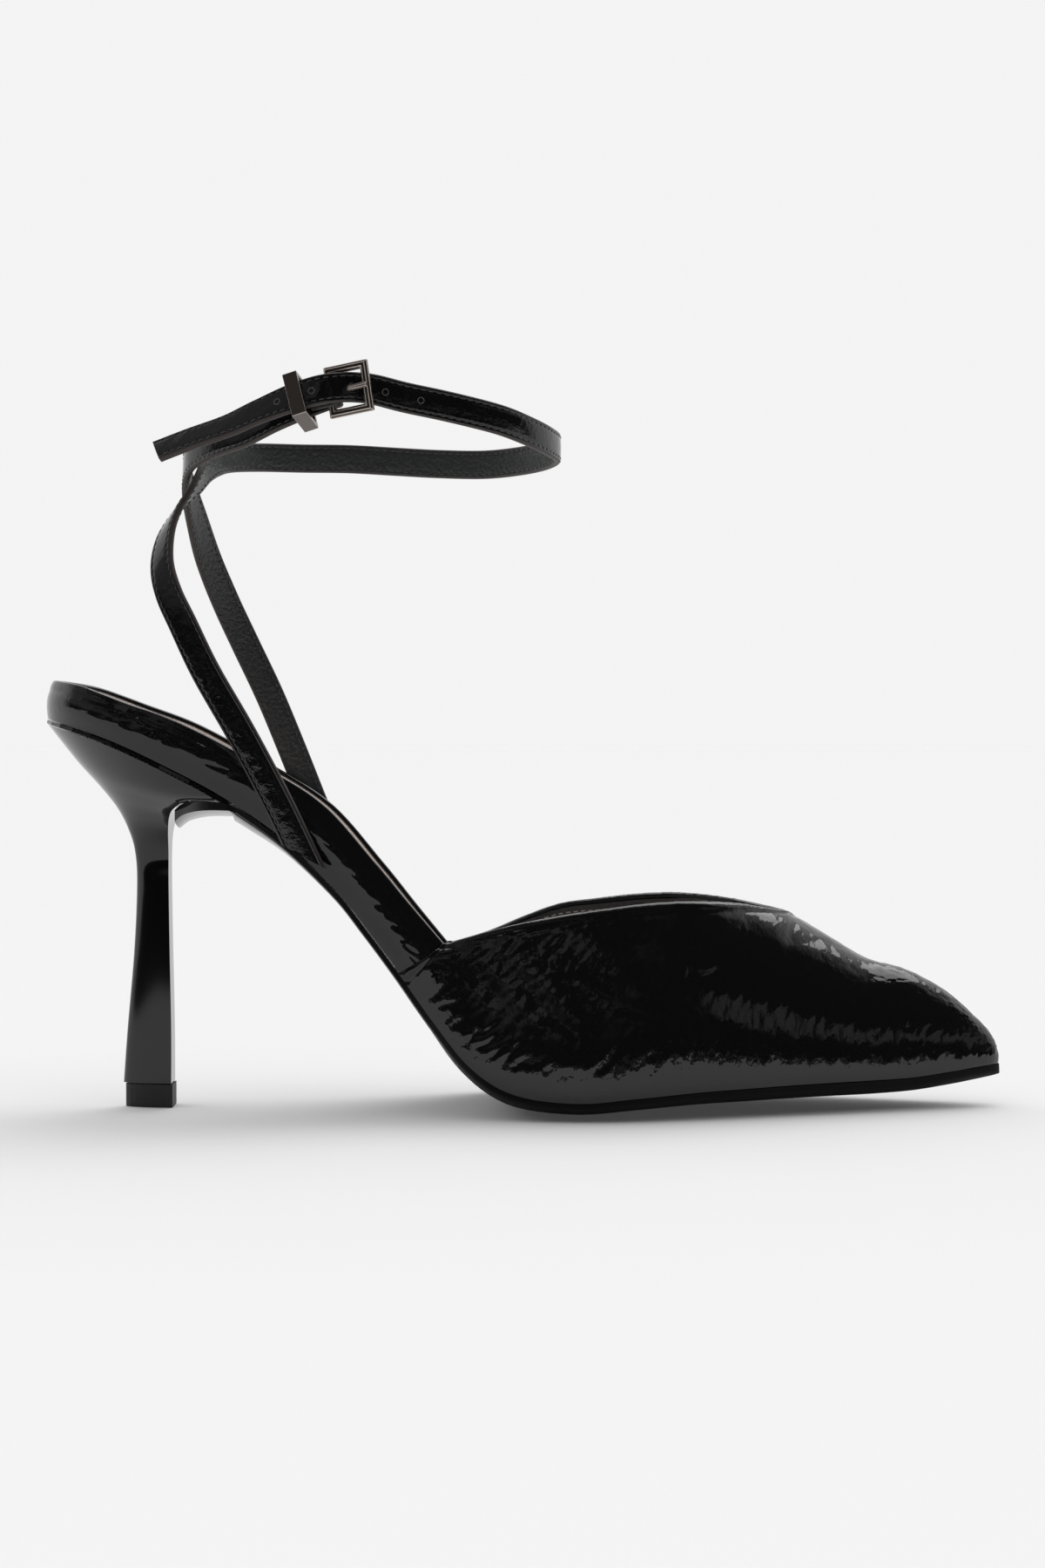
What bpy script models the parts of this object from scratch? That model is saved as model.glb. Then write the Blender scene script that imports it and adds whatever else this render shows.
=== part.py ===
"""Ankle strap pump, right shoe. +X points to the toe, -Y is the lateral side, +Z is up."""
import math

import bpy
import bmesh
from mathutils import Matrix, Vector

# Driving sizes in metres
LAST_LENGTH = 0.2270
BALL_WIDTH = 0.0740
HEEL_RISE = 0.0883
TOE_SPRING = 0.0055
QUARTER_HEIGHT = 0.0120
VAMP_HEIGHT = 0.0445
WALL = 0.0018
VAMP_OVERLAY = 0.0008
GAP = 0.0003
OUTSOLE_EDGE = 0.0014
OUTSOLE_CROWN = 0.0029
OUTSOLE_TOE_EXTENSION = 0.0010
LAST_CROWN = 0.0012
INSOLE_THICKNESS = 0.0030
SOCK_THICKNESS = 0.0008
RAND_THICKNESS = 0.0008
TOP_LIFT_HEIGHT = 0.0054
TOP_LIFT_LENGTH = 0.0116
TOP_LIFT_WIDTH = 0.0094
HEEL_STEM_WIDTH = 0.0086
STRAP_WIDTH = 0.0070
STRAP_THICKNESS = 0.0016
ANKLE_HEIGHT = 0.1570
BUCKLE_LENGTH = 0.0110
BUCKLE_HEIGHT = 0.0119
BUCKLE_BAR = 0.0019
BUCKLE_THICKNESS = 0.0018
PRONG_RADIUS = 0.00065
KEEPER_WIDTH = 0.0034
KEEPER_WALL = 0.0010

# Height of the feather line above the floor at the ball of the foot
BALL_EDGE = OUTSOLE_CROWN + OUTSOLE_EDGE + GAP
# The last's heel end sits this far behind the origin
HEEL_BACK = -0.5 * (LAST_LENGTH + 2 * OUTSOLE_TOE_EXTENSION - VAMP_OVERLAY)

# Feather line from the heel's back to the toe.
# along: share of LAST_LENGTH; lateral, medial: shares of BALL_WIDTH;
# arch: share of HEEL_RISE; spring: share of TOE_SPRING
EDGE_COLUMNS = ("along", "lateral", "medial", "arch", "spring")
EDGE = (
    (0.000, 0.000, 0.000, 1.000, 0.00),
    (0.010, 0.128, 0.128, 0.992, 0.00),
    (0.036, 0.236, 0.236, 0.974, 0.00),
    (0.078, 0.308, 0.304, 0.938, 0.00),
    (0.130, 0.332, 0.324, 0.877, 0.00),
    (0.192, 0.330, 0.314, 0.792, 0.00),
    (0.253, 0.322, 0.301, 0.683, 0.00),
    (0.310, 0.328, 0.303, 0.542, 0.00),
    (0.342, 0.341, 0.312, 0.439, 0.00),
    (0.374, 0.357, 0.327, 0.330, 0.00),
    (0.410, 0.386, 0.362, 0.202, 0.00),
    (0.448, 0.422, 0.408, 0.086, 0.00),
    (0.492, 0.459, 0.462, 0.020, 0.00),
    (0.554, 0.486, 0.500, 0.000, 0.00),
    (0.615, 0.472, 0.503, 0.000, 0.18),
    (0.677, 0.414, 0.462, 0.000, 0.36),
    (0.730, 0.354, 0.405, 0.000, 0.44),
    (0.770, 0.305, 0.359, 0.000, 0.49),
    (0.814, 0.251, 0.305, 0.000, 0.53),
    (0.862, 0.192, 0.249, 0.000, 0.56),
    (0.906, 0.135, 0.195, 0.000, 0.61),
    (0.946, 0.081, 0.143, 0.000, 0.78),
    (0.974, 0.035, 0.105, 0.000, 0.91),
    (0.993, -0.005, 0.073, 0.000, 0.98),
    (1.000, -0.041, 0.041, 0.000, 1.00),
)
# Upper end of each section: run and rise from the feather line, as shares of
# QUARTER_HEIGHT up to the vamp's rear edge and of VAMP_HEIGHT ahead of it;
# lateral, medial: shares of BALL_WIDTH; cut: degrees of the section's quarter
# ellipse; belly: share of QUARTER_HEIGHT; sink: how far the medial side is cut
# lower, as a share of QUARTER_HEIGHT
TOP_COLUMNS = ("run", "rise", "lateral", "medial", "cut", "belly", "sink")
TOP = (
    (0.100, 0.710, 0.000, 0.000, 20, 0.06, 0.00),
    (0.110, 0.750, 0.118, 0.118, 20, 0.07, 0.00),
    (0.180, 0.770, 0.227, 0.227, 20, 0.08, 0.00),
    (0.280, 0.720, 0.297, 0.294, 20, 0.09, 0.01),
    (0.370, 0.775, 0.319, 0.312, 20, 0.09, 0.03),
    (0.480, 0.735, 0.316, 0.300, 20, 0.09, 0.06),
    (0.720, 0.685, 0.308, 0.288, 20, 0.09, 0.10),
    (0.720, 0.540, 0.314, 0.289, 20, 0.09, 0.13),
    (0.800, 0.480, 0.327, 0.304, 20, 0.09, 0.18),
    (0.875, 0.500, 0.345, 0.322, 20, 0.075, 0.24),
    (0.265, 0.456, 0.368, 0.355, 22, 0.060, 0.25),
    (0.270, 0.733, 0.376, 0.368, 27, 0.050, 0.12),
    (0.247, 0.901, 0.370, 0.365, 36, 0.045, 0.00),
    (0.146, 0.971, 0.351, 0.345, 44, 0.040, 0.00),
    (0.067, 0.975, 0.324, 0.319, 47, 0.040, 0.00),
    (-0.011, 0.960, 0.277, 0.277, 52, 0.040, 0.00),
    (-0.011, 0.926, 0.142, 0.155, 68, 0.040, 0.00),
    (0.040, 0.865, -0.020, 0.020, 88, 0.040, 0.00),
    (0.022, 0.739, -0.026, 0.026, 88, 0.040, 0.00),
    (0.000, 0.604, -0.030, 0.030, 88, 0.035, 0.00),
    (-0.022, 0.540, -0.034, 0.034, 86, 0.035, 0.00),
    (-0.056, 0.434, -0.036, 0.036, 80, 0.030, 0.00),
    (-0.090, 0.342, -0.038, 0.038, 70, 0.030, 0.00),
    (-0.108, 0.258, -0.039, 0.039, 56, 0.020, 0.00),
    (-0.097, 0.209, -0.041, 0.041, 50, 0.020, 0.00),
)
# Powers of the height's share in the quarter and in the vamp, which is fullest near its foot
BELLY_POWERS = (1.0, 0.6)
VERTEX_ROW = 9
THROAT_ROW = 17
TIP_ROW = 24
# Row on which the outsole leaves the feather line for its flap at the heel
FLAP_ROW = 5.3
HEEL_SEAT_ROW = 4.9
STEP_ROWS = 0.04
# First and last row of the thin layers on the last's bottom
INSOLE_ROWS = (0.15, TIP_ROW - 1.40)
SOCK_ROWS = (0.18, TIP_ROW - 1.45)
RAND_ROWS = (0.10, 5.10)
# Rows over which the sections turn from the shank's lean to upright
FAN_ROWS = 4

# Outsole flap under the heel's wings: back and drop as shares of HEEL_RISE,
# width as a share of BALL_WIDTH
FLAP = (
    (0.030, -0.015, 0.300),
    (0.080, -0.016, 0.285),
    (0.125, -0.012, 0.250),
    (0.162, -0.001, 0.205),
    (0.184, 0.016, 0.180),
)
# Depth of the flap's middle below its edge, as a share of OUTSOLE_CROWN
FLAP_CROWN = 0.65

# Outsole's middle below its edge: section row, share of OUTSOLE_CROWN
CROWN = (
    (5.0, 0.95),
    (5.6, 0.85),
    (6.2, 0.50),
    (7.0, 0.28),
    (8.0, 0.15),
    (10.0, 0.35),
    (12.0, 1.15),
    (14.0, 1.20),
    (16.0, 1.15),
    (19.0, 1.00),
    (22.0, 0.60),
    (24.0, 0.30),
)

# Heel sections from the top lift to the seat. back_up, front_up: shares of the
# height from the top lift to HEEL_RISE; back, front: distances behind the breast line as shares
# of TOP_LIFT_LENGTH; half: half width as a share of HEEL_STEM_WIDTH
HEEL_COLUMNS = ("back_up", "front_up", "back", "front", "half")
HEEL = (
    (0.000, 0.000, 1.02, 0.00, 0.53),
    (0.155, 0.155, 0.94, 0.00, 0.50),
    (0.380, 0.380, 0.80, 0.03, 0.475),
    (0.572, 0.572, 0.74, 0.05, 0.465),
    (0.669, 0.669, 0.78, 0.05, 0.48),
    (0.735, 0.725, 0.92, 0.04, 0.72),
    (0.795, 0.769, 1.14, -0.02, 1.22),
    (0.859, 0.797, 1.50, -0.16, 1.76),
    (0.931, 0.820, 1.96, -0.50, 2.36),
)
# Place of the heel's front face along the shoe
BREAST = HEEL_BACK + 0.1308 * LAST_LENGTH

# Straps by the columns of STRAP_COLUMNS. along: share of LAST_LENGTH from the
# origin toward the toe; side: share of BALL_WIDTH; up: share of ANKLE_HEIGHT;
# face: degrees that the patent side has turned from the lateral side; tilt:
# degrees that it has turned upward
STRAP_COLUMNS = ("along", "side", "up", "face", "tilt")
# Long strap: lateral riser, once round the ankle, loose end
LONG_STRAP = (
    (-0.2260, -0.3568, 0.3865, 0, 0),
    (-0.2542, -0.3568, 0.4710, 0, 0),
    (-0.2899, -0.3527, 0.5680, 0, 0),
    (-0.3260, -0.3378, 0.6580, 5, 0),
    (-0.3502, -0.3135, 0.7290, 12, 0),
    (-0.3661, -0.2784, 0.7760, 22, 0),
    (-0.3744, -0.2324, 0.8190, 35, 0),
    (-0.3727, -0.1730, 0.8650, 50, 0),
    (-0.3621, -0.1122, 0.9040, 65, 0),
    (-0.3445, -0.0514, 0.9430, 80, 0),
    (-0.3357, 0.0230, 0.9700, 95, 0),
    (-0.3264, 0.1081, 0.9850, 110, 0),
    (-0.3150, 0.2162, 0.9940, 128, 0),
    (-0.2863, 0.3243, 0.9990, 145, 0),
    (-0.2423, 0.3919, 1.0000, 163, 0),
    (-0.1921, 0.4189, 1.0000, 178, 0),
    (-0.1405, 0.4230, 0.9960, 184, 0),
    (-0.0947, 0.4108, 0.9920, 192, 0),
    (-0.0458, 0.3595, 0.9890, 210, 0),
    (-0.0079, 0.2703, 0.9910, 228, 0),
    (0.0211, 0.1419, 0.9950, 250, 0),
    (0.0335, 0.0000, 1.0000, 270, 0),
    (0.0251, -0.1216, 1.0060, 290, 0),
    (0.0040, -0.2297, 1.0170, 312, 0),
    (-0.0278, -0.3243, 1.0310, 335, 0),
    (-0.0762, -0.3919, 1.0460, 350, 0),
    (-0.1211, -0.4135, 1.0590, 357, 0),
    (-0.1612, -0.4176, 1.0725, 366, 3),
    (-0.1969, -0.4608, 1.0705, 362, 9),
    (-0.2300, -0.4554, 1.0590, 358, 20),
    (-0.2692, -0.4297, 1.0380, 355, 38),
    (-0.3018, -0.4054, 1.0180, 353, 46),
    (-0.3414, -0.3676, 1.0000, 352, 48),
    (-0.3758, -0.3297, 0.9830, 352, 48),
)
# Short strap: medial riser, over the long strap behind the ankle, to the buckle
SHORT_STRAP = (
    (-0.2176, 0.3284, 0.4140, 180, 0),
    (-0.2326, 0.3311, 0.4670, 180, 0),
    (-0.2529, 0.3324, 0.5410, 180, 0),
    (-0.2775, 0.3284, 0.6270, 178, 0),
    (-0.3040, 0.3135, 0.7090, 172, 0),
    (-0.3242, 0.2838, 0.7740, 163, 0),
    (-0.3410, 0.2297, 0.8390, 148, 0),
    (-0.3511, 0.1486, 0.8990, 128, 0),
    (-0.3564, 0.0676, 0.9400, 108, 0),
    (-0.3564, -0.0135, 0.9660, 88, 0),
    (-0.3480, -0.1068, 0.9850, 68, 0),
    (-0.3233, -0.2027, 0.9990, 52, 6),
    (-0.2877, -0.2973, 1.0120, 34, 12),
    (-0.2555, -0.3581, 1.0310, 20, 20),
    (-0.2273, -0.3878, 1.0480, 8, 18),
)
# Row of the long strap at which the keeper sits, and the keeper's depth behind it
KEEPER_ROW = 29.02
KEEPER_DEPTH = 0.0072

# Buckle's hinge bar: place as in the strap tables; turn to the inner side and
# tilt of the frame in degrees
HINGE = (-0.1969, -0.4108, 1.066)
BUCKLE_YAW = 21
BUCKLE_ROLL = 9
# Short strap's end thinned for its turn round the hinge bar
LOOP_THICKNESS = 0.6 * STRAP_THICKNESS
LOOP_END = 0.0045
LOOP_ANGLES = (60, 30, 0, -30, -60)
# The prong's eye round the hinge bar: angles of its route; open part of the
# prong and longer part of its hole
EYE_ANGLES = (95, 60, 25, -10)
EYE_START = 115
HOLE_START = 140
# Prong ahead of the eye: share of the buckle's length, share of its height over the bars
PRONG_RISE = ((0.35, -0.25), (0.60, -0.75), (0.92, -1.00), (1.08, -1.00))
# Half profile of a buckle bar: reach to its outer edge, depth to its front face
BAR_PROFILE = ((1, 0.4), (0.45, 1), (-0.45, 1), (-1, 0.4))
# Cut of the risers' lower ends and of the loose end: run along per width
RISER_LEAN = 1.1
TIP_LEAN = 0.32

# Angle of the first point of a rounded loop
LOOP_CORNER = 2
STRAP_STEPS = 2
HEEL_STEPS = 9
LIFT_STEPS = 7
SECTION_STEPS = 7
EDGE_STEPS = 2
FLOOR_STEPS = 6

# Colour, roughness, metallic share and coat of each material
LOOKS = {
    "crinkled_patent": ((0.012, 0.012, 0.013), 0.12, 0.0, 1.0),
    "strap_patent": ((0.012, 0.012, 0.013), 0.15, 0.0, 1.0),
    "heel_gloss": ((0.012, 0.012, 0.013), 0.08, 0.0, 1.0),
    "outsole_black": ((0.015, 0.015, 0.016), 0.30, 0.0, 0.0),
    "sock_leather": ((0.620, 0.540, 0.460), 0.60, 0.0, 0.0),
    "insole_board": ((0.350, 0.300, 0.250), 0.80, 0.0, 0.0),
    "lift_rubber": ((0.020, 0.018, 0.018), 0.70, 0.0, 0.0),
    "buckle_metal": ((0.300, 0.270, 0.250), 0.30, 1.0, 0.0),
}


def clear_scene():
    for item in list(bpy.data.objects):
        bpy.data.objects.remove(item)


def material(name):
    found = bpy.data.materials.get(name)
    if found:
        return found
    colour, roughness, metallic, coat = LOOKS[name]
    made = bpy.data.materials.new(name)
    made.use_nodes = True
    shader = made.node_tree.nodes["Principled BSDF"]
    shader.inputs["Base Color"].default_value = (*colour, 1)
    shader.inputs["Roughness"].default_value = roughness
    shader.inputs["Metallic"].default_value = metallic
    shader.inputs["Coat Weight"].default_value = coat
    return made


def through(rows, t):
    """All columns of the smooth curve through the rows, at row number t."""
    last = len(rows) - 1
    i = max(0, min(int(t), last - 1))
    f = t - i
    before = rows[max(i - 1, 0)]
    start = rows[i]
    end = rows[i + 1]
    after = rows[min(i + 2, last)]
    values = []
    for a, b, c, d in zip(before, start, end, after):
        slope_in = (c - a) / 2
        slope_out = (d - b) / 2
        bend = 3 * (c - b) - 2 * slope_in - slope_out
        twist = 2 * (b - c) + slope_in + slope_out
        values.append(b + f * (slope_in + f * (bend + f * twist)))
    return values


def edge_row(number, side):
    row = dict(zip(EDGE_COLUMNS, EDGE[number]))
    width = -row["lateral"] if side < 0 else row["medial"]
    x = HEEL_BACK + row["along"] * LAST_LENGTH
    z = BALL_EDGE + row["arch"] * HEEL_RISE + row["spring"] * TOE_SPRING
    return (x, width * BALL_WIDTH, z)


def top_row(number, side):
    row = dict(zip(TOP_COLUMNS, TOP[number]))
    unit = QUARTER_HEIGHT if number <= VERTEX_ROW else VAMP_HEIGHT
    width = -row["lateral"] if side < 0 else row["medial"]
    sink = 0.0 if side < 0 else row["sink"] * QUARTER_HEIGHT
    base = edge_row(number, side)
    x = base[0] + row["run"] * unit
    z = base[2] + row["rise"] * unit - sink
    return (x, width * BALL_WIDTH, z, math.radians(row["cut"]), row["belly"] * QUARTER_HEIGHT)


def mirrored(maker, first, last):
    """Rows of the medial side, the shared middle row and the lateral side, in order."""
    step = 1 if last > first else -1
    medial = [maker(i, 1) for i in range(last, first, -step)]
    lateral = [maker(i, -1) for i in range(first, last + step, step)]
    return medial + lateral


EDGE_RING = mirrored(edge_row, 0, TIP_ROW)
QUARTER_TOP = mirrored(top_row, 0, VERTEX_ROW)
VAMP_TOP = mirrored(top_row, THROAT_ROW, VERTEX_ROW)
RIDGE = [top_row(i, -1) for i in range(THROAT_ROW, TIP_ROW + 1)]


def edge_point(s, side):
    """Feather line at row number s, with a smooth turn at the heel and at the toe."""
    if s > TIP_ROW - 1:
        toe = [edge_row(TIP_ROW - 2, side), edge_row(TIP_ROW - 1, side)]
        toe += [edge_row(TIP_ROW, side), edge_row(TIP_ROW - 1, -side)]
        return Vector(through(toe, 1 + s - (TIP_ROW - 1)))
    return Vector(through(EDGE_RING, TIP_ROW - side * s))


def top_point(s, side):
    """Upper end of the section at row number s: place, cut angle and belly."""
    if s <= VERTEX_ROW:
        return through(QUARTER_TOP, VERTEX_ROW - side * s)
    if s <= THROAT_ROW:
        return through(VAMP_TOP, THROAT_ROW - VERTEX_ROW - side * (THROAT_ROW - s))
    return through(RIDGE, s - THROAT_ROW)


def edge_outward(s, side):
    """Horizontal unit vector that points out of the shoe at the feather line."""
    step = 0.01
    if s < step:
        return Vector((-1, 0, 0))
    if s > TIP_ROW - step:
        return Vector((1, 0, 0))
    along = edge_point(s + step, side) - edge_point(s - step, side)
    out = Vector((along.y, -along.x, 0)).normalized()
    return out if side < 0 else -out


def edge_up(s):
    """Unit vector in the shoe's middle plane, square to the feather line, pointing up."""
    step = 0.05
    low = edge_point(max(s - step, 0), -1)
    high = edge_point(min(s + step, TIP_ROW), -1)
    if s < 1.0:
        low = edge_point(0.0, -1)
        high = edge_point(2.0, -1)
    along = Vector((high.x - low.x, 0, high.z - low.z)).normalized()
    return Vector((-along.z, 0, along.x))


def last_point(s, side, u):
    """Point of the last's side at row s and share u of the section's height."""
    foot = edge_point(s, side)
    x, y, z, cut, belly = top_point(s, side)
    angle = u * cut
    inward = (1 - math.cos(angle)) / (1 - math.cos(cut))
    upward = math.sin(angle) / math.sin(cut)
    fan = min(1.0, max(0.0, (s - VERTEX_ROW) / FAN_ROWS))
    forward = upward + (inward - upward) * fan
    place = Vector((
        foot.x + (x - foot.x) * forward,
        foot.y + (y - foot.y) * inward,
        foot.z + (z - foot.z) * upward))
    power = BELLY_POWERS[0] + (BELLY_POWERS[1] - BELLY_POWERS[0]) * fan
    return place + edge_outward(s, side) * belly * math.sin(math.pi * u ** power)


def stations():
    """Row numbers at which the upper has a section, heel to toe."""
    numbers = []
    for row in range(TIP_ROW):
        for part in range(EDGE_STEPS):
            numbers.append(row + part / EDGE_STEPS)
            if row == VERTEX_ROW and part == 0:
                numbers.append(row + STEP_ROWS)
    return numbers + [float(TIP_ROW)]


def ring_stations():
    """The stations of both sides as one ring that starts at the heel's back."""
    rows = stations()
    lateral = [(s, -1) for s in rows]
    medial = [(s, 1) for s in rows[-2:0:-1]]
    return lateral + medial


def wall_grids():
    """Outer and inner grids of the upper's wall, by station and by section step."""
    ring = ring_stations()
    count = len(ring)
    base = []
    for s, side in ring:
        base.append([last_point(s, side, j / SECTION_STEPS) for j in range(SECTION_STEPS + 1)])
    normals = []
    for i, (s, side) in enumerate(ring):
        ahead = base[(i + 1) % count]
        behind = base[i - 1]
        column = []
        for j in range(SECTION_STEPS + 1):
            along = ahead[j] - behind[j]
            up = base[i][min(j + 1, SECTION_STEPS)] - base[i][max(j - 1, 0)]
            cross = along.cross(up)
            column.append(cross.normalized() if cross.length > 1e-12 else column[-1])
        normals.append(column)
    for i, (s, side) in enumerate(ring):
        if side < 0 and s >= THROAT_ROW and s < TIP_ROW:
            twin = (count - i) % count
            shared = (normals[i][-1] + normals[twin][-1]).normalized()
            normals[i][-1] = shared
            normals[twin][-1] = shared
    outer = []
    inner = []
    for i, (s, side) in enumerate(ring):
        proud = VAMP_OVERLAY if s > VERTEX_ROW else 0.0
        outer.append([p + n * proud for p, n in zip(base[i], normals[i])])
        inner.append([p - n * WALL for p, n in zip(base[i], normals[i])])
    return ring, outer, inner


def finish_mesh(name, mesh, look, sharp=35):
    """Object of one closed mesh; edges sharper than the given angle stay hard."""
    bmesh.ops.recalc_face_normals(mesh, faces=mesh.faces)
    data = bpy.data.meshes.new(name)
    mesh.to_mesh(data)
    mesh.free()
    data.shade_smooth()
    data.set_sharp_from_angle(angle=math.radians(sharp))
    made = bpy.data.objects.new(name, data)
    bpy.context.scene.collection.objects.link(made)
    data.materials.append(material(look))
    return made


def make_upper():
    ring, outer, inner = wall_grids()
    count = len(ring)
    mesh = bmesh.new()
    known = {}

    def vertex(layer, i, j, place):
        s, side = ring[i % count]
        twin = side
        if j == SECTION_STEPS and s >= THROAT_ROW:
            twin = 0
        key = (layer, s, twin, j)
        if key not in known:
            known[key] = mesh.verts.new(place)
        return known[key]

    def corner(layer, i, j):
        grid = outer if layer == "outer" else inner
        return vertex(layer, i, j, grid[i % count][j])

    def rim(i):
        place = (outer[i % count][-1] + inner[i % count][-1]) / 2
        up = (outer[i % count][-1] - outer[i % count][-2]).normalized()
        return vertex("rim", i, SECTION_STEPS, place + up * WALL * 0.4)

    def face(corners):
        unique = []
        for item in corners:
            if item not in unique:
                unique.append(item)
        if len(unique) > 2:
            mesh.faces.new(unique)

    for i in range(count):
        for layer in ("outer", "inner"):
            for j in range(SECTION_STEPS):
                quad = [corner(layer, i, j), corner(layer, i + 1, j)]
                quad += [corner(layer, i + 1, j + 1), corner(layer, i, j + 1)]
                face(quad)
        foot = [corner("outer", i, 0), corner("outer", i + 1, 0)]
        face(foot + [corner("inner", i + 1, 0), corner("inner", i, 0)])
        if ring[i][0] <= THROAT_ROW and ring[(i + 1) % count][0] <= THROAT_ROW:
            for layer in ("outer", "inner"):
                top = [corner(layer, i, SECTION_STEPS), corner(layer, i + 1, SECTION_STEPS)]
                face(top + [rim(i + 1), rim(i)])
    return finish_mesh("upper", mesh, "crinkled_patent")


def loft(name, sections, look, sharp=35):
    """Closed body through closed sections of equal length, with pair-wise capped ends."""
    mesh = bmesh.new()
    rings = [[mesh.verts.new(p) for p in section] for section in sections]
    for low, high in zip(rings, rings[1:]):
        size = len(low)
        for k in range(size):
            mesh.faces.new((low[k], low[(k + 1) % size], high[(k + 1) % size], high[k]))
    for ring in (rings[0], rings[-1]):
        size = len(ring)
        for k in range(size // 2 - 1):
            corners = (ring[k], ring[k + 1], ring[size - 2 - k], ring[size - 1 - k])
            mesh.faces.new(corners)
    return finish_mesh(name, mesh, look, sharp)


def slab_section(left, right, up, top, bottom, floor=None):
    """Section of a sole layer: top side left to right, then bottom side right to left.

    top and bottom are functions of the place across, from -1 to 1, that give
    the distance from the feather line along up.
    """
    places = [2 * k / FLOOR_STEPS - 1 for k in range(FLOOR_STEPS + 1)]
    points = []
    for v in places:
        points.append(left.lerp(right, (v + 1) / 2) + up * top(v))
    for v in reversed(places):
        low = left.lerp(right, (v + 1) / 2) + up * bottom(v)
        if floor is not None:
            low.z = max(low.z, floor)
        points.append(low)
    return points


def inset_edges(s, inset):
    left = edge_point(s, -1) - edge_outward(s, -1) * inset
    right = edge_point(s, 1) - edge_outward(s, 1) * inset
    return left, right


def sole_stations(first, last):
    inner = [s for s in stations() if first < s < last and s != VERTEX_ROW + STEP_ROWS]
    return [first] + inner + [last]


def last_crown(s):
    """Depth of the last's bottom at its middle below the feather line."""
    return LAST_CROWN * max(0.0, min(1.0, (s - HEEL_SEAT_ROW) / 3, (TIP_ROW - s) / 4))


def outsole_crown(s):
    """Depth of the outsole's middle below its edge."""
    for (a, low), (b, high) in zip(CROWN, CROWN[1:]):
        if s <= b:
            share = max(0.0, (s - a) / (b - a))
            return OUTSOLE_CROWN * (low + (high - low) * share)
    return OUTSOLE_CROWN * CROWN[-1][1]


def make_outsole():
    sections = []
    start = edge_point(FLAP_ROW, -1)
    for back, drop, half in reversed(FLAP):
        x = start.x - back * HEEL_RISE
        z = start.z - GAP - drop * HEEL_RISE
        left = Vector((x, -half * BALL_WIDTH, z))
        right = Vector((x, half * BALL_WIDTH, z))
        depth = FLAP_CROWN * OUTSOLE_CROWN
        sections.append(slab_section(
            left, right, Vector((0, 0, 1)),
            lambda v: -0.25 * OUTSOLE_EDGE,
            lambda v: -1.25 * OUTSOLE_EDGE - depth * (1 - v * v)))
    for s in sole_stations(FLAP_ROW, TIP_ROW - 0.12):
        reach = OUTSOLE_TOE_EXTENSION * max(0.0, min(1.0, (s - 12) / 6))
        left, right = inset_edges(s, -reach)
        crown = outsole_crown(s)
        dip = last_crown(s)
        sections.append(slab_section(
            left, right, edge_up(s),
            lambda v: -GAP - dip * (1 - v * v),
            lambda v: -GAP - OUTSOLE_EDGE - crown * (1 - abs(v) ** 3), 0.0))
    return loft("outsole", sections, "outsole_black")


def make_layer(name, first, last, inset, low, high, look):
    """Thin layer on the last's bottom, between two distances above the feather line."""
    sections = []
    for s in sole_stations(first, last):
        left, right = inset_edges(s, inset)
        dip = last_crown(s)
        sections.append(slab_section(
            left, right, edge_up(s),
            lambda v: high - dip * (1 - v * v),
            lambda v: low - dip * (1 - v * v)))
    return loft(name, sections, look)


def loop_turn(share):
    """Angle on a half loop from its side to just short of its middle, in radians."""
    return math.radians(90 - (90 - LOOP_CORNER) * share)


def heel_section(row, seat):
    """Loop of one heel section: lateral front to back, then back to medial front."""
    level = dict(zip(HEEL_COLUMNS, row))
    back_x = BREAST - level["back"] * TOP_LIFT_LENGTH
    front_x = BREAST - level["front"] * TOP_LIFT_LENGTH
    foot = TOP_LIFT_HEIGHT + GAP
    back_z = foot + level["back_up"] * (HEEL_RISE - foot)
    front_z = foot + level["front_up"] * (HEEL_RISE - foot)
    half = level["half"] * HEEL_STEM_WIDTH
    steps = HEEL_STEPS
    lateral = []
    medial = []
    for k in range(steps + 1):
        turn = loop_turn(k / steps)
        share = 1 - math.cos(turn)
        x = back_x + (front_x - back_x) * share
        z = back_z + (front_z - back_z) * share
        y = half * math.sin(turn)
        lateral.append(Vector((x, -y, z)))
        medial.append(Vector((x, y, z)))
    if seat:
        lateral = []
        medial = []
        for k in range(steps + 1):
            s = HEEL_SEAT_ROW * (1 - k / steps) + 0.12
            left, right = inset_edges(s, GAP)
            drop = edge_up(s) * (RAND_THICKNESS + 2 * GAP)
            lateral.append(left - drop)
            medial.append(right - drop)
    return lateral + list(reversed(medial))


def make_heel():
    sections = [heel_section(row, False) for row in HEEL]
    sections.append(heel_section(HEEL[-1], True))
    return loft("heel", sections, "heel_gloss", 50)


def make_top_lift():
    sections = []
    for z in (0.0, TOP_LIFT_HEIGHT):
        loop = []
        half = TOP_LIFT_WIDTH / 2
        front = BREAST + GAP
        for k in range(LIFT_STEPS + 1):
            turn = loop_turn(k / LIFT_STEPS)
            x = front - TOP_LIFT_LENGTH * math.cos(turn)
            loop.append(Vector((x, -half * math.sin(turn), z)))
        loop += [Vector((p.x, -p.y, p.z)) for p in reversed(loop)]
        sections.append(loop)
    return loft("top_lift", sections, "lift_rubber", 50)


def ankle_place(along, side, up):
    return Vector((along * LAST_LENGTH, side * BALL_WIDTH, up * ANKLE_HEIGHT))


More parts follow.
